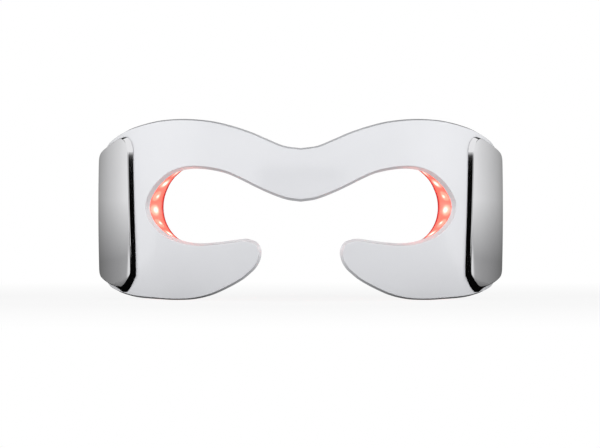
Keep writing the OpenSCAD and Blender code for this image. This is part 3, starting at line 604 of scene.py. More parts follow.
def makeShell():
    low = curveThrough(outerLine, shell["steps"])
    high = curveThrough(openingEdge, shell["steps"])
    tip = curveWithHandles(low[0], tipHandles, high[0], shell["columns"])
    lean, edge, foot, depth = (shell[k] for k in ("lean", "edge", "foot", "rimDepth"))
    rows = [(lean + edge + shell["hold"], 0)]
    rows += [(lean + inset, -down) for inset, down in edgeRows(edge, 4)]
    for k in range(1, shell["rimRows"] + 1):
        t = k / shell["rimRows"]
        rows.append((lean * (1 - t), -edge - (depth - foot - edge) * t))
    rows += [(foot, -depth), (shell["rimWall"], -depth), (shell["rimWall"], -shell["wall"])]
    section = [(inset, n, 0, 0) for inset, n in rows]
    obj = wrappedSolid("faceShell", bothSides(low), bothSides(high), tip, tip * [-1, 1], section)
    smoothShade(obj)
    dress(obj, finishes["shell"])
    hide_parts("front_shell")


makeShell()
print("shell made")

# Lights along each edge of the band: each second one infrared, between them red and amber
lights = {
    "inset": 4.5, "pitch": 8.0, "size": (3.5, 2.8, 0.8), "lensRadius": 1.0, "lensFlat": 0.22,
    "lensMiddle": -0.98,
    # how deep their feet sit: the board's front, its thickness and a gap
    "behind": 3.4 + 0.8 + 0.35,
    # each box's shares of length, width and height, and its middle; the feet are the longest
    "boxes": [((1, 1, 0.7), -0.35), ((0.94, 0.92, 0.3), -0.85), ((1.05, 0.6, 0.16), -0.08)],
}


def rowAlong(points, distance):
    return points[1:-1] + sideOf(points[2:] - points[:-2]) * distance


def spacedAlong(points, start, pitch):
    steps = np.linalg.norm(np.diff(points, axis=0), axis=1)
    run = np.concatenate([[0], np.cumsum(steps)])
    found = []
    for d in np.arange(start, run[-1], pitch):
        i = min(int(np.searchsorted(run, d, side="right")) - 1, len(points) - 2)
        e = points[i + 1] - points[i]
        place = points[i] + e * (d - run[i]) / np.linalg.norm(e)
        found.append((place[0], place[1], math.atan2(e[1], e[0])))
    return found


windowHigh = [templeHigh[-1]] + browEdge
lightPlaces = []
for edgeLine, inward, firstGap in ((openingEdge, -1, 3), (lobeEdge, 1, 3), (windowHigh, 1, 5)):
    lightRow = rowAlong(curveThrough(edgeLine, 2), inward * lights["inset"])
    lightPlaces += spacedAlong(lightRow, firstGap, lights["pitch"])


def newTree(name, inputs):
    tree = bpy.data.node_groups.new(name, "GeometryNodeTree")
    tree.interface.new_socket("Geometry", in_out="INPUT", socket_type="NodeSocketGeometry")
    for label, kind in inputs:
        tree.interface.new_socket(label, in_out="INPUT", socket_type="NodeSocket" + kind)
    tree.interface.new_socket("Geometry", in_out="OUTPUT", socket_type="NodeSocketGeometry")
    return tree, tree.nodes.new("NodeGroupInput"), tree.nodes.new("NodeGroupOutput")


def joinParts(tree, parts):
    join = tree.nodes.new("GeometryNodeJoinGeometry")
    for part in parts:
        feed(tree, join, {"Geometry": part})
    return join.outputs["Geometry"]


def instanceOnPlaces(tree, source, target, part, material, markedMaterial=None):
    # one copy of the part on each place, turned by the place's own attribute, then made real
    turn = addNode(tree, "GeometryNodeInputNamedAttribute", {"Name": "turn"},
                   data_type="FLOAT_VECTOR")
    spread = addNode(tree, "GeometryNodeInstanceOnPoints", {
        "Points": source.outputs["Geometry"], "Instance": part,
        "Rotation": turn.outputs["Attribute"]})
    real = addNode(tree, "GeometryNodeRealizeInstances", {"Geometry": spread.outputs["Instances"]})
    result = addNode(tree, "GeometryNodeSetMaterial", {
        "Geometry": real.outputs["Geometry"], "Material": source.outputs[material]})
    if markedMaterial:
        mark = addNode(tree, "GeometryNodeInputNamedAttribute", {"Name": "marked"},
                       data_type="BOOLEAN")
        result = addNode(tree, "GeometryNodeSetMaterial", {
            "Geometry": result.outputs["Geometry"], "Selection": mark.outputs["Attribute"],
            "Material": source.outputs[markedMaterial]})
    feed(tree, target, {"Geometry": result.outputs["Geometry"]})


def movedPart(tree, mesh, offset, **more):
    return addNode(tree, "GeometryNodeTransform", {
        "Geometry": mesh, "Translation": vectorOf(tree, 0, 0, offset), **more}).outputs["Geometry"]


def boxPart(tree, size, offset):
    cube = addNode(tree, "GeometryNodeMeshCube", {"Size": vectorOf(tree, *size)})
    return movedPart(tree, cube.outputs["Mesh"], offset)


def lightTree():
    tree, source, target = newTree("lightPackages", [
        ("Length", "Float"), ("Width", "Float"), ("Height", "Float"), ("Lens Radius", "Float"),
        ("Body Finish", "Material"), ("Lens Finish", "Material")])
    sizes = [source.outputs[k] for k in ("Length", "Width", "Height")]
    height = sizes[2]
    parts = []
    for shares, middle in lights["boxes"]:
        box = [times(tree, size, share) for size, share in zip(sizes, shares)]
        parts.append(boxPart(tree, box, times(tree, height, middle)))
    ball = addNode(tree, "GeometryNodeMeshUVSphere", {
        "Segments": 20, "Rings": 8, "Radius": source.outputs["Lens Radius"]})
    dome = movedPart(tree, ball.outputs["Mesh"], times(tree, height, lights["lensMiddle"]),
                     Scale=(1, 1, lights["lensFlat"]))
    mark = addNode(tree, "GeometryNodeStoreNamedAttribute", {
        "Geometry": dome, "Name": "marked", "Value": True}, data_type="BOOLEAN", domain="FACE")
    part = joinParts(tree, parts + [mark.outputs["Geometry"]])
    instanceOnPlaces(tree, source, target, part, "Body Finish", "Lens Finish")
    return tree


def placesObject(name, matrices):
    mesh = bpy.data.meshes.new(name)
    mesh.from_pydata([m.translation[:] for m in matrices], [], [])
    turn = mesh.attributes.new("turn", "FLOAT_VECTOR", "POINT")
    turn.data.foreach_set("vector", [c for m in matrices for c in m.to_euler()])
    return addObject(name, mesh)


def runTree(source, tree, name, values):
    # runs the tree on the places and keeps the result as a plain mesh
    modifier = source.modifiers.new(tree.name, "NODES")
    modifier.node_group = tree
    for item in tree.interface.items_tree:
        if item.in_out == "INPUT" and item.name in values:
            modifier[item.identifier] = values[item.name]
    evaluated = source.evaluated_get(bpy.context.evaluated_depsgraph_get())
    obj = addObject(name, bpy.data.meshes.new_from_object(evaluated))
    source.modifiers.remove(modifier)
    bpy.data.objects.remove(source)
    return obj


def makeLights():
    tree = lightTree()
    kinds = (("redLights", "redLens", "red_lights", "light_red", 1, 4),
             ("infraredLights", "infraredLens", "infrared_lights", "light_infrared", 0, 2),
             ("amberLights", "amberLens", "amber_lights", "light_amber", 3, 4))
    for name, lens, node, slot, start, step in kinds:
        matrices = []
        for s, v, angle in lightPlaces[start::step]:
            for side in (1, -1):
                matrices.append(placeAt(side * s, v, -lights["behind"])
                                @ Matrix.Rotation(side * angle, 4, "Z"))
        length, width, height = (size * mm for size in lights["size"])
        obj = runTree(placesObject(name + "Places", matrices), tree, name, {
            "Length": length / lights["boxes"][-1][0][0], "Width": width, "Height": height,
            "Lens Radius": lights["lensRadius"] * mm, "Body Finish": finishes["lightBody"],
            "Lens Finish": finishes[lens]})
        smoothShade(obj, 40)
        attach(obj, "mask")
        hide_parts(node)


makeLights()
print("lights made,", 2 * len(lightPlaces))

# Clear window: a tray whose sides lean in towards the skin. Each point of it stores how brightly
# its painted glow shines: its walls glow all over, with a bright spot at each light.
tray = {"step": 0.3, "lean": 1.6, "draft": 2.4, "round": 0.8, "wallShare": 0.85, "margin": 4.0,
        "nearMargin": 2.2}
window = {
    "wall": 1.5, "steps": 8, "columns": 14, "wallRows": 14, "last": 30, "lightAway": 3.1,
    "spotReach": 1.3, "dotReach": 0.7, "floorLit": 0.25, "frontLit": 0.03, "dimSpot": 0.15,
    "litFrom": 42.0, "litRun": 8.0, "rimRows": (0.35, 1.0, 1.0, 1.0, 0.6, 0.3),
}
windowLow = lobeEdge + [templeLow[0]]
windowRiseLine = [templeLow[0]] + [(form["windowEnd"], v) for v in windowRise] + [templeHigh[-1]]


def windowOutline(steps):
    return np.vstack([curveThrough(windowLow, steps), curveThrough(windowRiseLine, steps)[1:],
                      curveThrough(windowHigh, steps)[1:]])


def windowEdges(steps, last):
    # both edges up to one of their places, without the points next to the corners at the temple
    count = last * steps + 1
    low, high = windowOutline(steps)[:count], curveThrough(openingEdge, steps)[:count]
    corners = np.array([templeLow[0], templeHigh[-1]], float)
    gap = np.linalg.norm(low[:, None] - corners, axis=2).min(1)
    margin = np.where(low[:, 0] > form["windowEnd"] - form["touch"], tray["margin"],
                      tray["nearMargin"])
    keep = (gap < form["touch"]) | (gap > margin)
    return low[keep], high[keep]


def traySection(wall, wallRows):
    # up the inside from the floor, over the rim, down the outside and round the back edge
    top = shell["rimDepth"] + form["seam"]
    inner, depth = tray["step"] + wall, form["bandDepth"]
    floor = wall - depth
    rows = []
    for k in range(wallRows + 1):
        t = k / wallRows
        rows.append((inner + tray["lean"] * (1 - t), floor + (-top - floor) * t, wall, 1 - t))
    outside = tray["step"] + tray["draft"] * tray["wallShare"]
    for k in range(wallRows + 1):
        t = k / wallRows
        n = -top + (tray["round"] - depth + top) * t
        rows.append((tray["step"] + (outside - tray["step"]) * t, n, 0, t))
    end = tray["step"] + tray["draft"] + tray["round"] / 2
    for rise, across in edgeRows(1.0)[1:]:
        rows.append((outside + (end - outside) * across, tray["round"] * rise - depth, 0, 1))
    return rows


def storeLight(obj, section, ring):
    # where the painted glow lies: lit is 1 on the walls near the temples, spot is 1 next to a light,
    # and rim is 1 on the back edge, which is painted a darker red
    points = np.empty(len(obj.data.vertices) * 3)
    obj.data.vertices.foreach_get("co", points)
    points = points.reshape(-1, 3)
    spot = np.zeros(len(points))
    for reach, start in ((window["dotReach"], 0), (window["spotReach"], 1)):
        s, v, _ = (np.array(x) for x in zip(*lightPlaces[start::2]))
        centres = wrapPoints(np.concatenate([s, -s]), np.concatenate([v, v]),
                             -lights["behind"] - lights["size"][2])
        gap = np.linalg.norm(points[:, None] - centres[None], axis=2).min(1) / mm
        spot += np.exp(-np.maximum(0, gap ** 2 - window["lightAway"] ** 2) / reach ** 2)
    walls = np.arange(len(points)) < (len(section) - 1) * ring
    side = smoothStep((np.abs(points[:, 0]) / mm - window["litFrom"]) / window["litRun"])
    lit = window["floorLit"] + walls * (window["frontLit"] + (1 - window["frontLit"]) * side
                                        - window["floorLit"])
    spot = np.clip(spot, 0, 1) * np.maximum(lit, window["dimSpot"])
    rim = np.zeros(len(points))
    for k, value in enumerate(window["rimRows"], len(section) - 1 - len(window["rimRows"])):
        rim[k * ring:(k + 1) * ring] = value
    for name, values in (("lit", lit), ("spot", spot), ("rim", rim)):
        attribute = obj.data.attributes.new(name, "FLOAT", "POINT")
        attribute.data.foreach_set("value", values)


def makeWindow():
    low, high = windowEdges(window["steps"], window["last"])
    tip = curveWithHandles(low[0], tipHandles, high[0], window["columns"])
    section = traySection(window["wall"], window["wallRows"])
    low, high = bothSides(low), bothSides(high)
    obj = wrappedSolid("lightWindow", low, high, tip, tip * [-1, 1], section)
    storeLight(obj, section, 2 * (len(low) + len(tip)))
    smoothShade(obj)
    dress(obj, finishes["window"])
    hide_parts("light_window")


makeWindow()
print("window made")

# Light boards behind the window, and the pads on the skin side
boards = {"front": 3.4, "thick": 0.8, "inset": 2.7, "edge": 0.1, "margin": 3.2, "steps": 6,
          "last": 29, "columns": 10}


def makeBoards():
    low, high = windowEdges(boards["steps"], boards["last"])
    gap = np.minimum(np.linalg.norm(low - low[-1], axis=1), np.linalg.norm(high - high[-1], axis=1))
    keep = (gap < form["touch"]) | (gap > boards["margin"])
    low, high = low[keep], high[keep]
    front, inset, edge = -boards["front"], boards["inset"], boards["edge"]
    back = front - boards["thick"]
    section = [(inset + edge, front, inset, 0), (inset, front - edge, inset, 0),
               (inset, back + edge, inset, 0), (inset + edge, back, inset, 0)]
    obj = wrappedSolid("lightBoardLeft", low, high,
                       curveWithHandles(low[0], tipHandles, high[0], boards["columns"]),
                       straightBetween(low[-1], high[-1], boards["columns"]), section)
    smoothShade(obj)
    dressPair(obj, "lightBoardRight", "board", ("led_board_left", "led_board_right"))


makeBoards()

pads = {"thick": 3.0, "round": 1.0, "rows": 6, "foot": 0.15, "crown": 0.45, "steps": 8, "columns": 12,
        "brow": (23, 30, 0.25, 0.65), "cheek": (1, 6, 0.28, 0.68)}


def padOutline(first, last, share):
    edge = windowOutline(1)[first:last + 1]
    inner = np.array(openingEdge, float)[first:last + 1]
    return edge + (inner - edge) * share


def makePads():
    base = form["bandDepth"] + form["seam"]
    top = form["bandDepth"] + pads["thick"] - pads["crown"]
    foot = pads["foot"]
    section = [(foot, -base, foot, 1), (0, -base - foot, 0, 1)]
    section += [(inset, rise - top, inset, 1) for rise, inset in edgeRows(pads["round"], pads["rows"])]
    for name, node, (first, last, near, far) in (("browPad", "brow_pad", pads["brow"]),
                                                 ("cheekPadLeft", "cheek_pad_left", pads["cheek"])):
        low = curveThrough(padOutline(first, last, near), pads["steps"])
        high = curveThrough(padOutline(first, last, far), pads["steps"])
        if name == "browPad":
            low, high = bothSides(low), bothSides(high)
        obj = wrappedSolid(name, low, high, straightBetween(low[0], high[0], pads["columns"]),
                           straightBetween(low[-1], high[-1], pads["columns"]), section,
                           crown=pads["crown"])
        smoothShade(obj)
        made = [(obj, node)]
        if name != "browPad":
            made.append((mirrored(obj, "cheekPadRight"), "cheek_pad_right"))
        for piece, cadNode in made:
            dress(piece, finishes["silicone"])
            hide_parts(cadNode)


makePads()
print("boards and pads made")

# Temple covers: thin plated pressings with a crisp bevel round the face
cover = {
    "rise": 2.4, "thick": 1.1, "lean": 0.9, "seat": 0.2, "bevel": 0.3, "hold": 0.06, "drop": 1.3,
    "dropFrom": (95, -26), "dropRun": 8, "steps": 8, "frontSteps": 5, "wallRows": 6,
    "low": [(78.2, -27.4), (80.8, -30.2), (83.7, -32.4), (86.2, -32.9), (92, -32.4),
            (99, -31.3), (106, -30), (113, -28.7), (119.5, -26.4), (123.8, -22.4)],
    "high": [(80.1, 25), (81.4, 27.5), (83.9, 29.1), (87, 29.2), (92, 27.9),
             (99, 26.2), (106, 24.8), (113, 23.3), (119.5, 20.8), (123.8, 17)],
    "front": [(78.2, -27.4), (78, -24.5), (77.95, -15), (78.3, -4), (78.9, 8), (79.8, 22), (80.1, 25)],
    "rear": [(127, -14), (127, 8)],
    "studRadius": 1.5, "studEnd": 5.0, "studBore": 1.0, "boreEnd": 0.5,
}


def coverDrop(edge):
    # the cover's foot drops most of all at its lower front corner
    (s, v), (near, low), run = edge.T, cover["dropFrom"], cover["dropRun"]
    drop = smoothStep((low - v) / run) * smoothStep((near - s) / run)
    return np.stack([0 * s, drop], axis=1)


def makeCovers():
    low = curveThrough(cover["low"], cover["steps"])
    high = curveThrough(cover["high"], cover["steps"])
    rise, lean, thick, seat = (cover[k] for k in ("rise", "lean", "thick", "seat"))
    rows = [(cover["bevel"] + cover["hold"], rise, 0)]
    rows += [(inset, rise - down, 0) for inset, down in edgeRows(cover["bevel"], 4)]
    wall = rise - cover["bevel"]
    for k in range(1, cover["wallRows"] + 1):
        t = k / cover["wallRows"]
        rows.append((-lean * t, wall + (seat - wall) * t, cover["drop"] * t))
    rows += [(thick - lean, seat, cover["drop"]), (thick, rise - thick, 0)]
    section = [(inset, n, inset, 0, drop) for inset, n, drop in rows]
    front = curveThrough(cover["front"], cover["frontSteps"])[1:-1]
    rear = curveWithHandles(low[-1], cover["rear"], high[-1], len(front) + 1)
    obj = wrappedSolid("templeCoverLeft", low, high, front, rear, section, drop=coverDrop)
    outer, bore = cover["studRadius"], cover["studBore"]
    rings = circleStack([(outer, rise - thick / 2), (outer, -cover["studEnd"]),
                         (bore, -cover["studEnd"]), (bore, -cover["boreEnd"])])
    shapeWith(obj, "UNION", stackedSolid("coverStuds", [(rings, placeAt(s, v, 0)) for s, v in studs]))
    smoothShade(obj, 28)
    dressPair(obj, "templeCoverRight", "cover",
              ("temple_cover_left", "temple_cover_right"))


makeCovers()
print("covers made")

# Temple housings: deep trays with screw posts and a strap loop, and on the left the pockets
# for the button, the charge light and the charging socket
boardPlace = (101.0, 0.0, -5.0)
button = {"length": 8.0, "width": 4.2, "top": 29.2, "flangeHeight": 0.8, "flange": 0.7,
          "flangeFoot": 23.85, "x": -4.0, "z": -2.2, "round": 0.5, "dish": 0.25,
          "dishRows": 6, "dishEnd": 0.05}
housing = {
    "wall": 1.6, "steps": 8, "wallRows": 8, "postRadius": 2.8, "postTop": 2.1, "postFoot": 11.6,
    "loopIn": 6.0, "loopUp": -1.5, "loopThick": 3.0, "loopCorner": 5.0, "loopEnd": 4.0,
    "loopRound": 0.8, "loopRoot": 4.0, "slotWidth": 4.6, "slotLength": 30.0, "slotCorner": 1.2,
    "slotSpace": 1.2, "bossFoot": 24.8, "bossAcross": (-11.0, 5.5), "bossDeep": (-12.4, 4.0),
    "pocketGap": 0.1, "pocketFoot": 21.8, "landing": 0.8, "landingFoot": 28.5, "mouth": 34.0,
    "bossTop": 37, "lightHole": 0.95, "lightX": 4.0, "lightFoot": 20.85, "cutPast": 1,
    "socket": (9.4, 3.7), "socketZ": -2.1, "pegs": [(-6.5, -17), (6.5, 13)],
    # how far out from its own outline and where along its axis each ring lies
    "socketRows": [(0, -25.7), (0, -32.5), (0.8, -33.3), (0.8, -36.5)],
    # radius and place along its axis of each ring: a peg, and a screw's seat with its bore
    "pegRows": [(2.0, -7.8), (2.0, -0.5), (1.0, -0.5), (1.0, 1.0)],
    "seatRows": [(2.3, -13.5), (2.3, -12.5), (1.95, -12.1), (1.95, -9.4), (1.0, -9.4), (1.0, -5.05),
                 (1.55, -5.05), (1.55, -1.0)],
}


def strapLoop():
    # a flat ear with round edges, and the slot to cut out of it
    rear, middle = form["halfDepth"], form["midHeight"] + housing["loopUp"]
    front = wrapPoints(templeLow[-1][0], 0, 0)[1] / mm - housing["loopRoot"]
    slot = wrapPoints(templeRear[0][0], 0, 0)[1] / mm + housing["slotSpace"] + housing["slotWidth"] / 2
    bend = math.sin(math.radians(form["frontArc"]))
    across = form["frontRadius"] * bend + form["sideRadius"] * (1 - bend) - housing["loopIn"]
    half, width, length = housing["loopThick"] / 2, rear - front, housing["slotLength"]
    plate, cut = [], []
    for side, rows in ((-1, edgeRows(housing["loopRound"])), (1, edgeRows(housing["loopRound"])[::-1])):
        for inset, down in rows:
            height = across + side * (half - down)
            outline = roundedRing(width - 2 * inset, length + 2 * housing["loopEnd"] - 2 * inset,
                                  housing["loopCorner"] - inset)
            plate.append(lift(outline, height, 0, ((front + rear) / 2, middle)))
            opening = roundedRing(housing["slotWidth"] + 2 * inset, length + 2 * inset,
                                  housing["slotCorner"] + inset)
            cut.append(lift(opening, height, 0, (slot, middle)))
    past = housing["cutPast"]
    cut.insert(0, [(x - past, y, z) for x, y, z in cut[0]])
    cut.append([(x + past, y, z) for x, y, z in cut[-1]])
    return plate, cut


def buttonPill(extra, y):
    outline = roundedRing(button["length"] + 2 * extra, button["width"] + 2 * extra,
                          button["width"] / 2 + extra)
    return lift(outline, y, 1, (button["x"], button["z"]))


def boardPockets():
    # what is cut out of the left housing for the button, the light and the socket
    width, height = housing["socket"]
    gap, landing = housing["pocketGap"], housing["landing"]
    pocket = [buttonPill(gap, housing["pocketFoot"]), buttonPill(gap, housing["landingFoot"]),
              buttonPill(landing, housing["landingFoot"]), buttonPill(landing, housing["mouth"])]
    light = [lift(circleRing(housing["lightHole"]), y, 1, (housing["lightX"], button["z"]))
             for y in (housing["lightFoot"], housing["mouth"])]
    socket = [lift(roundedRing(width + 2 * e, height + 2 * e, height / 2 + e), y, 1,
                   (0, housing["socketZ"])) for e, y in housing["socketRows"]]
    return [pocket, light, socket]


def makeHousings():
    steps = housing["steps"]
    line = curveThrough(templeLow + templeRear + templeHigh, steps)
    line[[0, -1], 0] += form["seam"]
    lowEnd = (len(templeLow) - 1) * steps
    highEnd = lowEnd + (len(templeRear) + 1) * steps
    low, rear, high = line[:lowEnd + 1], line[lowEnd:highEnd + 1], line[highEnd:][::-1]
    keep = (low[:, 0] < line[0, 0] + form["touch"]) | (low[:, 0] > line[0, 0] + tray["nearMargin"])
    low, high = low[keep], high[keep]
    ends = (straightBetween(low[0], high[0], len(rear) - 1, tray["margin"]), rear[1:-1])
    section = traySection(housing["wall"], housing["wallRows"])
    plate, slot = strapLoop()
    posts = circleStack([(housing["postRadius"], -housing[k]) for k in ("postFoot", "postTop")])
    board = placeAt(*boardPlace)
    x, z = housing["bossAcross"], housing["bossDeep"]
    corners = [(x[0], z[0]), (x[1], z[0]), (x[1], z[1]), (x[0], z[1])]
    for side in ("left", "right"):
        obj = wrappedSolid("templeHousing" + side.capitalize(), low, high, *ends, section)
        shapeWith(obj, "UNION", stackedSolid("posts", [(posts, placeAt(s, v, 0)) for s, v in studs]))
        shapeWith(obj, "UNION", stackedSolid("loop", [(plate, Matrix.Identity(4))]))
        if side == "left":
            boss = [lift(corners, y, 1) for y in (housing["bossFoot"], housing["bossTop"])]
            boss = stackedSolid("boss", [(boss, board)])
            body = wrappedSolid("body", low, high, *ends, section[housing["wallRows"] + 1:])
            shapeWith(boss, "INTERSECT", body)
            shapeWith(obj, "UNION", boss)
            pegs = [(circleStack(housing["pegRows"], place), board) for place in housing["pegs"]]
            shapeWith(obj, "UNION", stackedSolid("pegs", pegs))
            for pocket in boardPockets():
                shapeWith(obj, "DIFFERENCE", stackedSolid("pocket", [(pocket, board)]))
        seats = [(circleStack(housing["seatRows"]), placeAt(s, v, 0)) for s, v in studs]
        shapeWith(obj, "DIFFERENCE", stackedSolid("seats", seats))
        shapeWith(obj, "DIFFERENCE", stackedSolid("slot", [(slot, Matrix.Identity(4))]))
        if side == "right":
            mirrorMesh(obj.data)
        smoothShade(obj, 32)
        dress(obj, finishes["housing"])
        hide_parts("temple_back_" + side)


makeHousings()
print("housings made")

# Screws in the housings' seats
screws = {"headRadius": 1.9, "headHeight": 1.2, "shankRadius": 0.95, "shankLength": 6.6,
          "seat": 9.4, "recess": (2.2, 0.5, 1.4), "headShare": 0.8, "brimTaper": 0.86,
          "tipTaper": 0.85}


def cylinderPart(tree, radius, depth, offset, taper=1, **more):
    cone = addNode(tree, "GeometryNodeMeshCone", {
        "Vertices": 40, "Radius Top": times(tree, radius, taper), "Radius Bottom": radius,
        "Depth": depth})
    return movedPart(tree, cone.outputs["Mesh"], offset, **more)


def screwTree():
    tree, source, target = newTree("crossScrews", [
        ("Head Radius", "Float"), ("Head Height", "Float"), ("Shank Radius", "Float"),
        ("Shank Length", "Float"), ("Recess Length", "Float"), ("Recess Width", "Float"),
        ("Recess Depth", "Float"), ("Finish", "Material")])
    radius, height, shankRadius, shankLength, long, wide, deep, _ = source.outputs[1:9]
    share = screws["headShare"]
    below = times(tree, height, -share)
    head = cylinderPart(tree, radius, times(tree, height, share), below)
    brim = cylinderPart(tree, radius, times(tree, height, 1 - share), below, screws["brimTaper"],
                        Rotation=(math.pi, 0, 0))
    solid = addNode(tree, "GeometryNodeMeshBoolean", operation="UNION", solver="EXACT")
    for part in (head, brim):
        feed(tree, solid, {"Mesh 2": part})
    cut = addNode(tree, "GeometryNodeMeshBoolean", {"Mesh 1": solid.outputs["Mesh"]},
                  operation="DIFFERENCE", solver="EXACT")
    for size in ((long, wide, deep), (wide, long, deep)):
        feed(tree, cut, {"Mesh 2": boxPart(tree, size, times(tree, height, -1))})
    shank = cylinderPart(tree, shankRadius, shankLength, 0, screws["tipTaper"])
    part = joinParts(tree, [cut.outputs["Mesh"], shank])
    instanceOnPlaces(tree, source, target, part, "Finish")
    return tree


def makeScrews():
    matrices = [placeAt(side * s, v, -screws["seat"]) for side in (1, -1) for s, v in studs]
    length, width, depth = screws["recess"]
    obj = runTree(placesObject("screwPlaces", matrices), screwTree(), "housingScrews", {
        "Head Radius": screws["headRadius"] * mm, "Head Height": screws["headHeight"] * mm,
        "Shank Radius": screws["shankRadius"] * mm, "Shank Length": screws["shankLength"] * mm,
        "Recess Length": length * mm, "Recess Width": width * mm, "Recess Depth": depth * mm,
        "Finish": finishes["screw"]})
    smoothShade(obj, 30)
    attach(obj, "mask")
    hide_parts("housing_screws")


makeScrews()
print("screws made")

# Power button: a dished cap that rides on the moving body
def makeButton():
    foot, top, lip = button["flangeFoot"], button["top"], button["flange"]
    brim = foot + button["flangeHeight"]
    rings = [buttonPill(lip, foot), buttonPill(lip, brim), buttonPill(0, brim)]
    for inset, down in edgeRows(button["round"])[::-1]:
        rings.append(buttonPill(-inset, top - down))
    dishRun = button["width"] / 2 - button["round"] - button["dishEnd"]
    for k in range(1, button["dishRows"] + 1):
        t = k / button["dishRows"]
        inset = button["round"] + dishRun * t
        rings.append(buttonPill(-inset, top - button["dish"] * float(smoothStep(t))))
    obj = stackedSolid("powerButton", [(rings, placeAt(*boardPlace))])
    smoothShade(obj, 50)
    dress(obj, finishes["button"], "button")
    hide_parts("power_button")


makeButton()

# The pieces that keep the solids' own shape take only a finish
keptFinishes = {
    "board_spacers": "nylon", "brow_lead": "lead", "control_lead": "lead", "battery_lead": "lead",
    "battery": "foil", "battery_foam": "foam", "battery_guard": "greenBoard",
    "control_board": "greenBoard", "board_chips": "black", "board_parts": "tan",
    "charge_socket": "socket", "socket_tongue": "black", "button_switch": "black",
    "switch_plunger": "plunger", "charge_light": "pipe",
}
for nodeName, finish in keptFinishes.items():
    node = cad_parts[nodeName]
    if not node.material_slots:
        node.data.materials.append(None)
    for materialSlot in node.material_slots:
        materialSlot.material = finishes[finish]
print("kept solids finished,", len(keptFinishes))

# Floor, cards and lights
studio = {
    "floorSize": 8.0, "floorWhite": (0.09, 0.3, 0.87, 1.0), "floorTone": (0.11, 0.18, 0.004, 0.5),
    "worldFill": 0.06,
    "floorShape": (0.45, 1.0, 1.0), "bounce": (0.03, 0.05, 0.0, 0.33),
    "lamps": [("topLamp", (0, -0.9, 1.1), (1.4, 0.9), 1.3),
              ("frontLamp", (0, -1.2, 0.14), (1.2, 0.18), 8.2),
              ("rearLamp", (0, 1.2, 0.7), (1.4, 0.8), 6.0),
              ("leftLamp", (-1.2, -0.3, 0.45), (0.8, 0.8), 8.5),
              ("rightLamp", (1.2, -0.3, 0.45), (0.8, 0.8), 8.5)],
    "card": {"away": -0.42, "solid": 0.14, "width": 0.2, "solidTop": 0.14, "top": 0.16},
    "sweep": {"radius": 0.2, "height": 0.3, "from": 78, "to": 180, "steps": 28,
              "foot": (0.012, 0.043, 0.45, 1.0), "side": (0.016, 0.03, 1.0, 0.0),
              "fades": [("Y", 0.03, 0.17, 0.92, 0.28), ("Y", 0.178, 0.197, 1.0, 0.1),
                        ("Z", 0.1, 0.14, 1.0, 0.06)]},
}


def greatest(tree, a, b):
    return mathNode(tree, "MAXIMUM", a, b)


def mixShaders(tree, share, first, second, output):
    mix = addNode(tree, "ShaderNodeMixShader", {0: share, 1: first, 2: second})
    feed(tree, tree.nodes[output], {"Surface": mix.outputs["Shader"]})


def addSheet(name, points, faces, material):
    mesh = bpy.data.meshes.new(name)
    mesh.from_pydata(points, [], faces)
    mesh.materials.append(material)
    return addObject(name, mesh)


def makeFloor():
    # White to the camera, but part of its own tone stays near the mask and keeps the shadow.
    # Reflections see it dark in front and grey at the sides, and the mask gets a little light
    # from further out.
    size = studio["floorSize"] / 2
    material, tree, shader = newMaterial("paleFloor", {"Roughness": 0.8, "Specular IOR Level": 0.0})
    path = tree.nodes.new("ShaderNodeLightPath").outputs
    seen = greatest(tree, path["Is Camera Ray"], path["Is Transmission Ray"])
    coordinates = objectSpace(tree)
    grain = spreadNoise(tree, noiseNode(tree, coordinates, 40.0), 0.97, 1.0)
    beside = mathNode(tree, "ABSOLUTE", splitVector(tree, coordinates)["X"], 0)
    across = mapRange(tree, beside, *studio["floorTone"])
    tone = times(tree, mapRange(tree, seen, 0.0, 1.0, across, 0.9), grain)
    feed(tree, shader, {"Base Color": vectorOf(tree, tone, tone, tone)})
    white = tree.nodes.new("ShaderNodeEmission")
    shape = addNode(tree, "ShaderNodeVectorMath", {0: coordinates, 1: studio["floorShape"]},
                    operation="MULTIPLY")
    length = addNode(tree, "ShaderNodeVectorMath", {0: shape.outputs["Vector"]}, operation="LENGTH")
    far = mapRange(tree, length.outputs["Value"], *studio["floorWhite"])
    bounce = mapRange(tree, length.outputs["Value"], *studio["bounce"])
    share = greatest(tree, times(tree, seen, far), times(tree, path["Is Diffuse Ray"], bounce))
    mixShaders(tree, share, shader.outputs["BSDF"], white.outputs["Emission"], "Material Output")
    material.cycles.emission_sampling = "NONE"
    points = [(-size, -size, 0), (size, -size, 0), (size, size, 0), (-size, size, 0)]
    addSheet("floor", points, [(0, 1, 2, 3)], material)


def addCard(name, points, faces, material):
    # a card that only shows in reflections
    card = addSheet(name, points, faces, material)
    card.visible_camera = card.visible_shadow = card.visible_diffuse = False
    card.visible_transmission = False


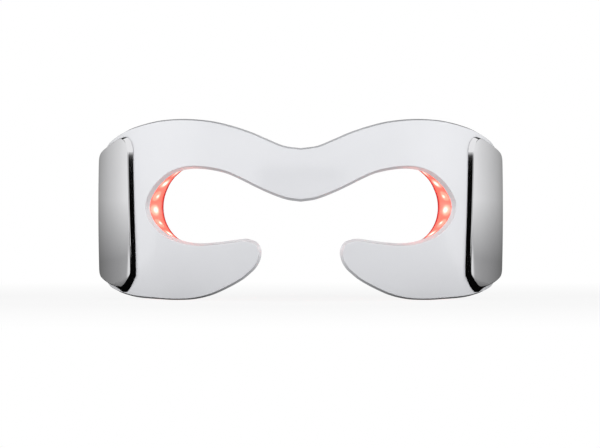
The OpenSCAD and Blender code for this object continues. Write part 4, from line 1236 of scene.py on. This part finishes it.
def makeCards():
    # the black card in front fades out at its sides and its top
    black, tree, shader = newMaterial("blackCard", {
        "Roughness": 1.0, "Specular IOR Level": 0.0, "Base Color": (0.004, 0.004, 0.004)})
    card = studio["card"]
    x, y, z = card["width"], card["away"], card["top"]
    place = splitVector(tree, objectSpace(tree))
    across = mapRange(tree, mathNode(tree, "ABSOLUTE", place["X"], 0), card["solid"], x, 1.0, 0.0)
    up = mapRange(tree, place["Z"], card["solidTop"], z, 1.0, 0.0)
    feed(tree, shader, {"Alpha": times(tree, across, up)})
    addCard("frontCard", [(-x, y, 0), (x, y, 0), (x, y, z), (-x, y, z)], [(0, 1, 2, 3)], black)
    # the sweep behind fades from white at the sides to grey behind the mask, to its foot and its top
    sweep = studio["sweep"]
    fade, tree, shader = newMaterial("sweepCard", {
        "Roughness": 1.0, "Specular IOR Level": 0.0, "Base Color": (0, 0, 0),
        "Emission Strength": 1.0})
    place = splitVector(tree, objectSpace(tree))
    shade = greatest(tree, mapRange(tree, place["Z"], *sweep["foot"]),
                     mapRange(tree, place["Y"], *sweep["side"]))
    for axis, *steps in sweep["fades"]:
        shade = times(tree, shade, mapRange(tree, place[axis], *steps))
    feed(tree, shader, {"Emission Color": vectorOf(tree, shade, shade, shade)})
    for name, side in (("sweepLeft", -1), ("sweepRight", 1)):
        points, faces = [], []
        for k in range(sweep["steps"] + 1):
            a = math.radians(sweep["from"] + (sweep["to"] - sweep["from"]) * k / sweep["steps"])
            x, y = side * sweep["radius"] * math.sin(a), -sweep["radius"] * math.cos(a)
            points += [(x, y, 0), (x, y, sweep["height"])]
            if k:
                faces.append((2 * k - 2, 2 * k, 2 * k + 1, 2 * k - 1))
        addCard(name, points, faces, fade)


def makeLamps():
    for name, place, (width, height), power in studio["lamps"]:
        data = bpy.data.lights.new(name, "AREA")
        data.shape = "RECTANGLE"
        data.size, data.size_y = width, height
        data.energy = power
        lampObject = bpy.data.objects.new(name, data)
        lampObject.location = place
        direction = Vector((0, 0, form["midHeight"] * mm)) - Vector(place)
        lampObject.rotation_euler = direction.to_track_quat("-Z", "Y").to_euler()
        lampObject.visible_camera = lampObject.visible_glossy = False
        scene.collection.objects.link(lampObject)


def makeWorld():
    # white to the camera and in reflections, and a faint fill for all else
    world = bpy.data.worlds.new("studioWorld")
    world.use_nodes = True
    tree = world.node_tree
    fill = feed(tree, tree.nodes["Background"], {"Color": (1, 1, 1), "Strength": studio["worldFill"]})
    white = addNode(tree, "ShaderNodeBackground", {"Color": (1, 1, 1)})
    path = tree.nodes.new("ShaderNodeLightPath").outputs
    seen = greatest(tree, greatest(tree, path["Is Camera Ray"], path["Is Glossy Ray"]),
                    path["Is Transmission Ray"])
    mixShaders(tree, seen, fill.outputs["Background"], white.outputs["Background"], "World Output")
    scene.world = world


makeFloor()
makeCards()
makeLamps()
makeWorld()

# Camera: level, a metre in front of the mask and a little below its middle
view = {"distance": 1.0, "below": 6.4, "aside": -0.28, "lens": 149.33, "sensor": 36.0}
cameraData = bpy.data.cameras.new("camera")
cameraData.lens = view["lens"]
cameraData.sensor_width = view["sensor"]
camera = bpy.data.objects.new("camera", cameraData)
camera.location = (view["aside"] * mm, -form["halfDepth"] * mm - view["distance"],
                   (form["midHeight"] - view["below"]) * mm)
camera.rotation_euler = (math.pi / 2, 0, 0)
scene.collection.objects.link(camera)
scene.camera = camera
scene.view_settings.view_transform = "Standard"
print("studio ready")
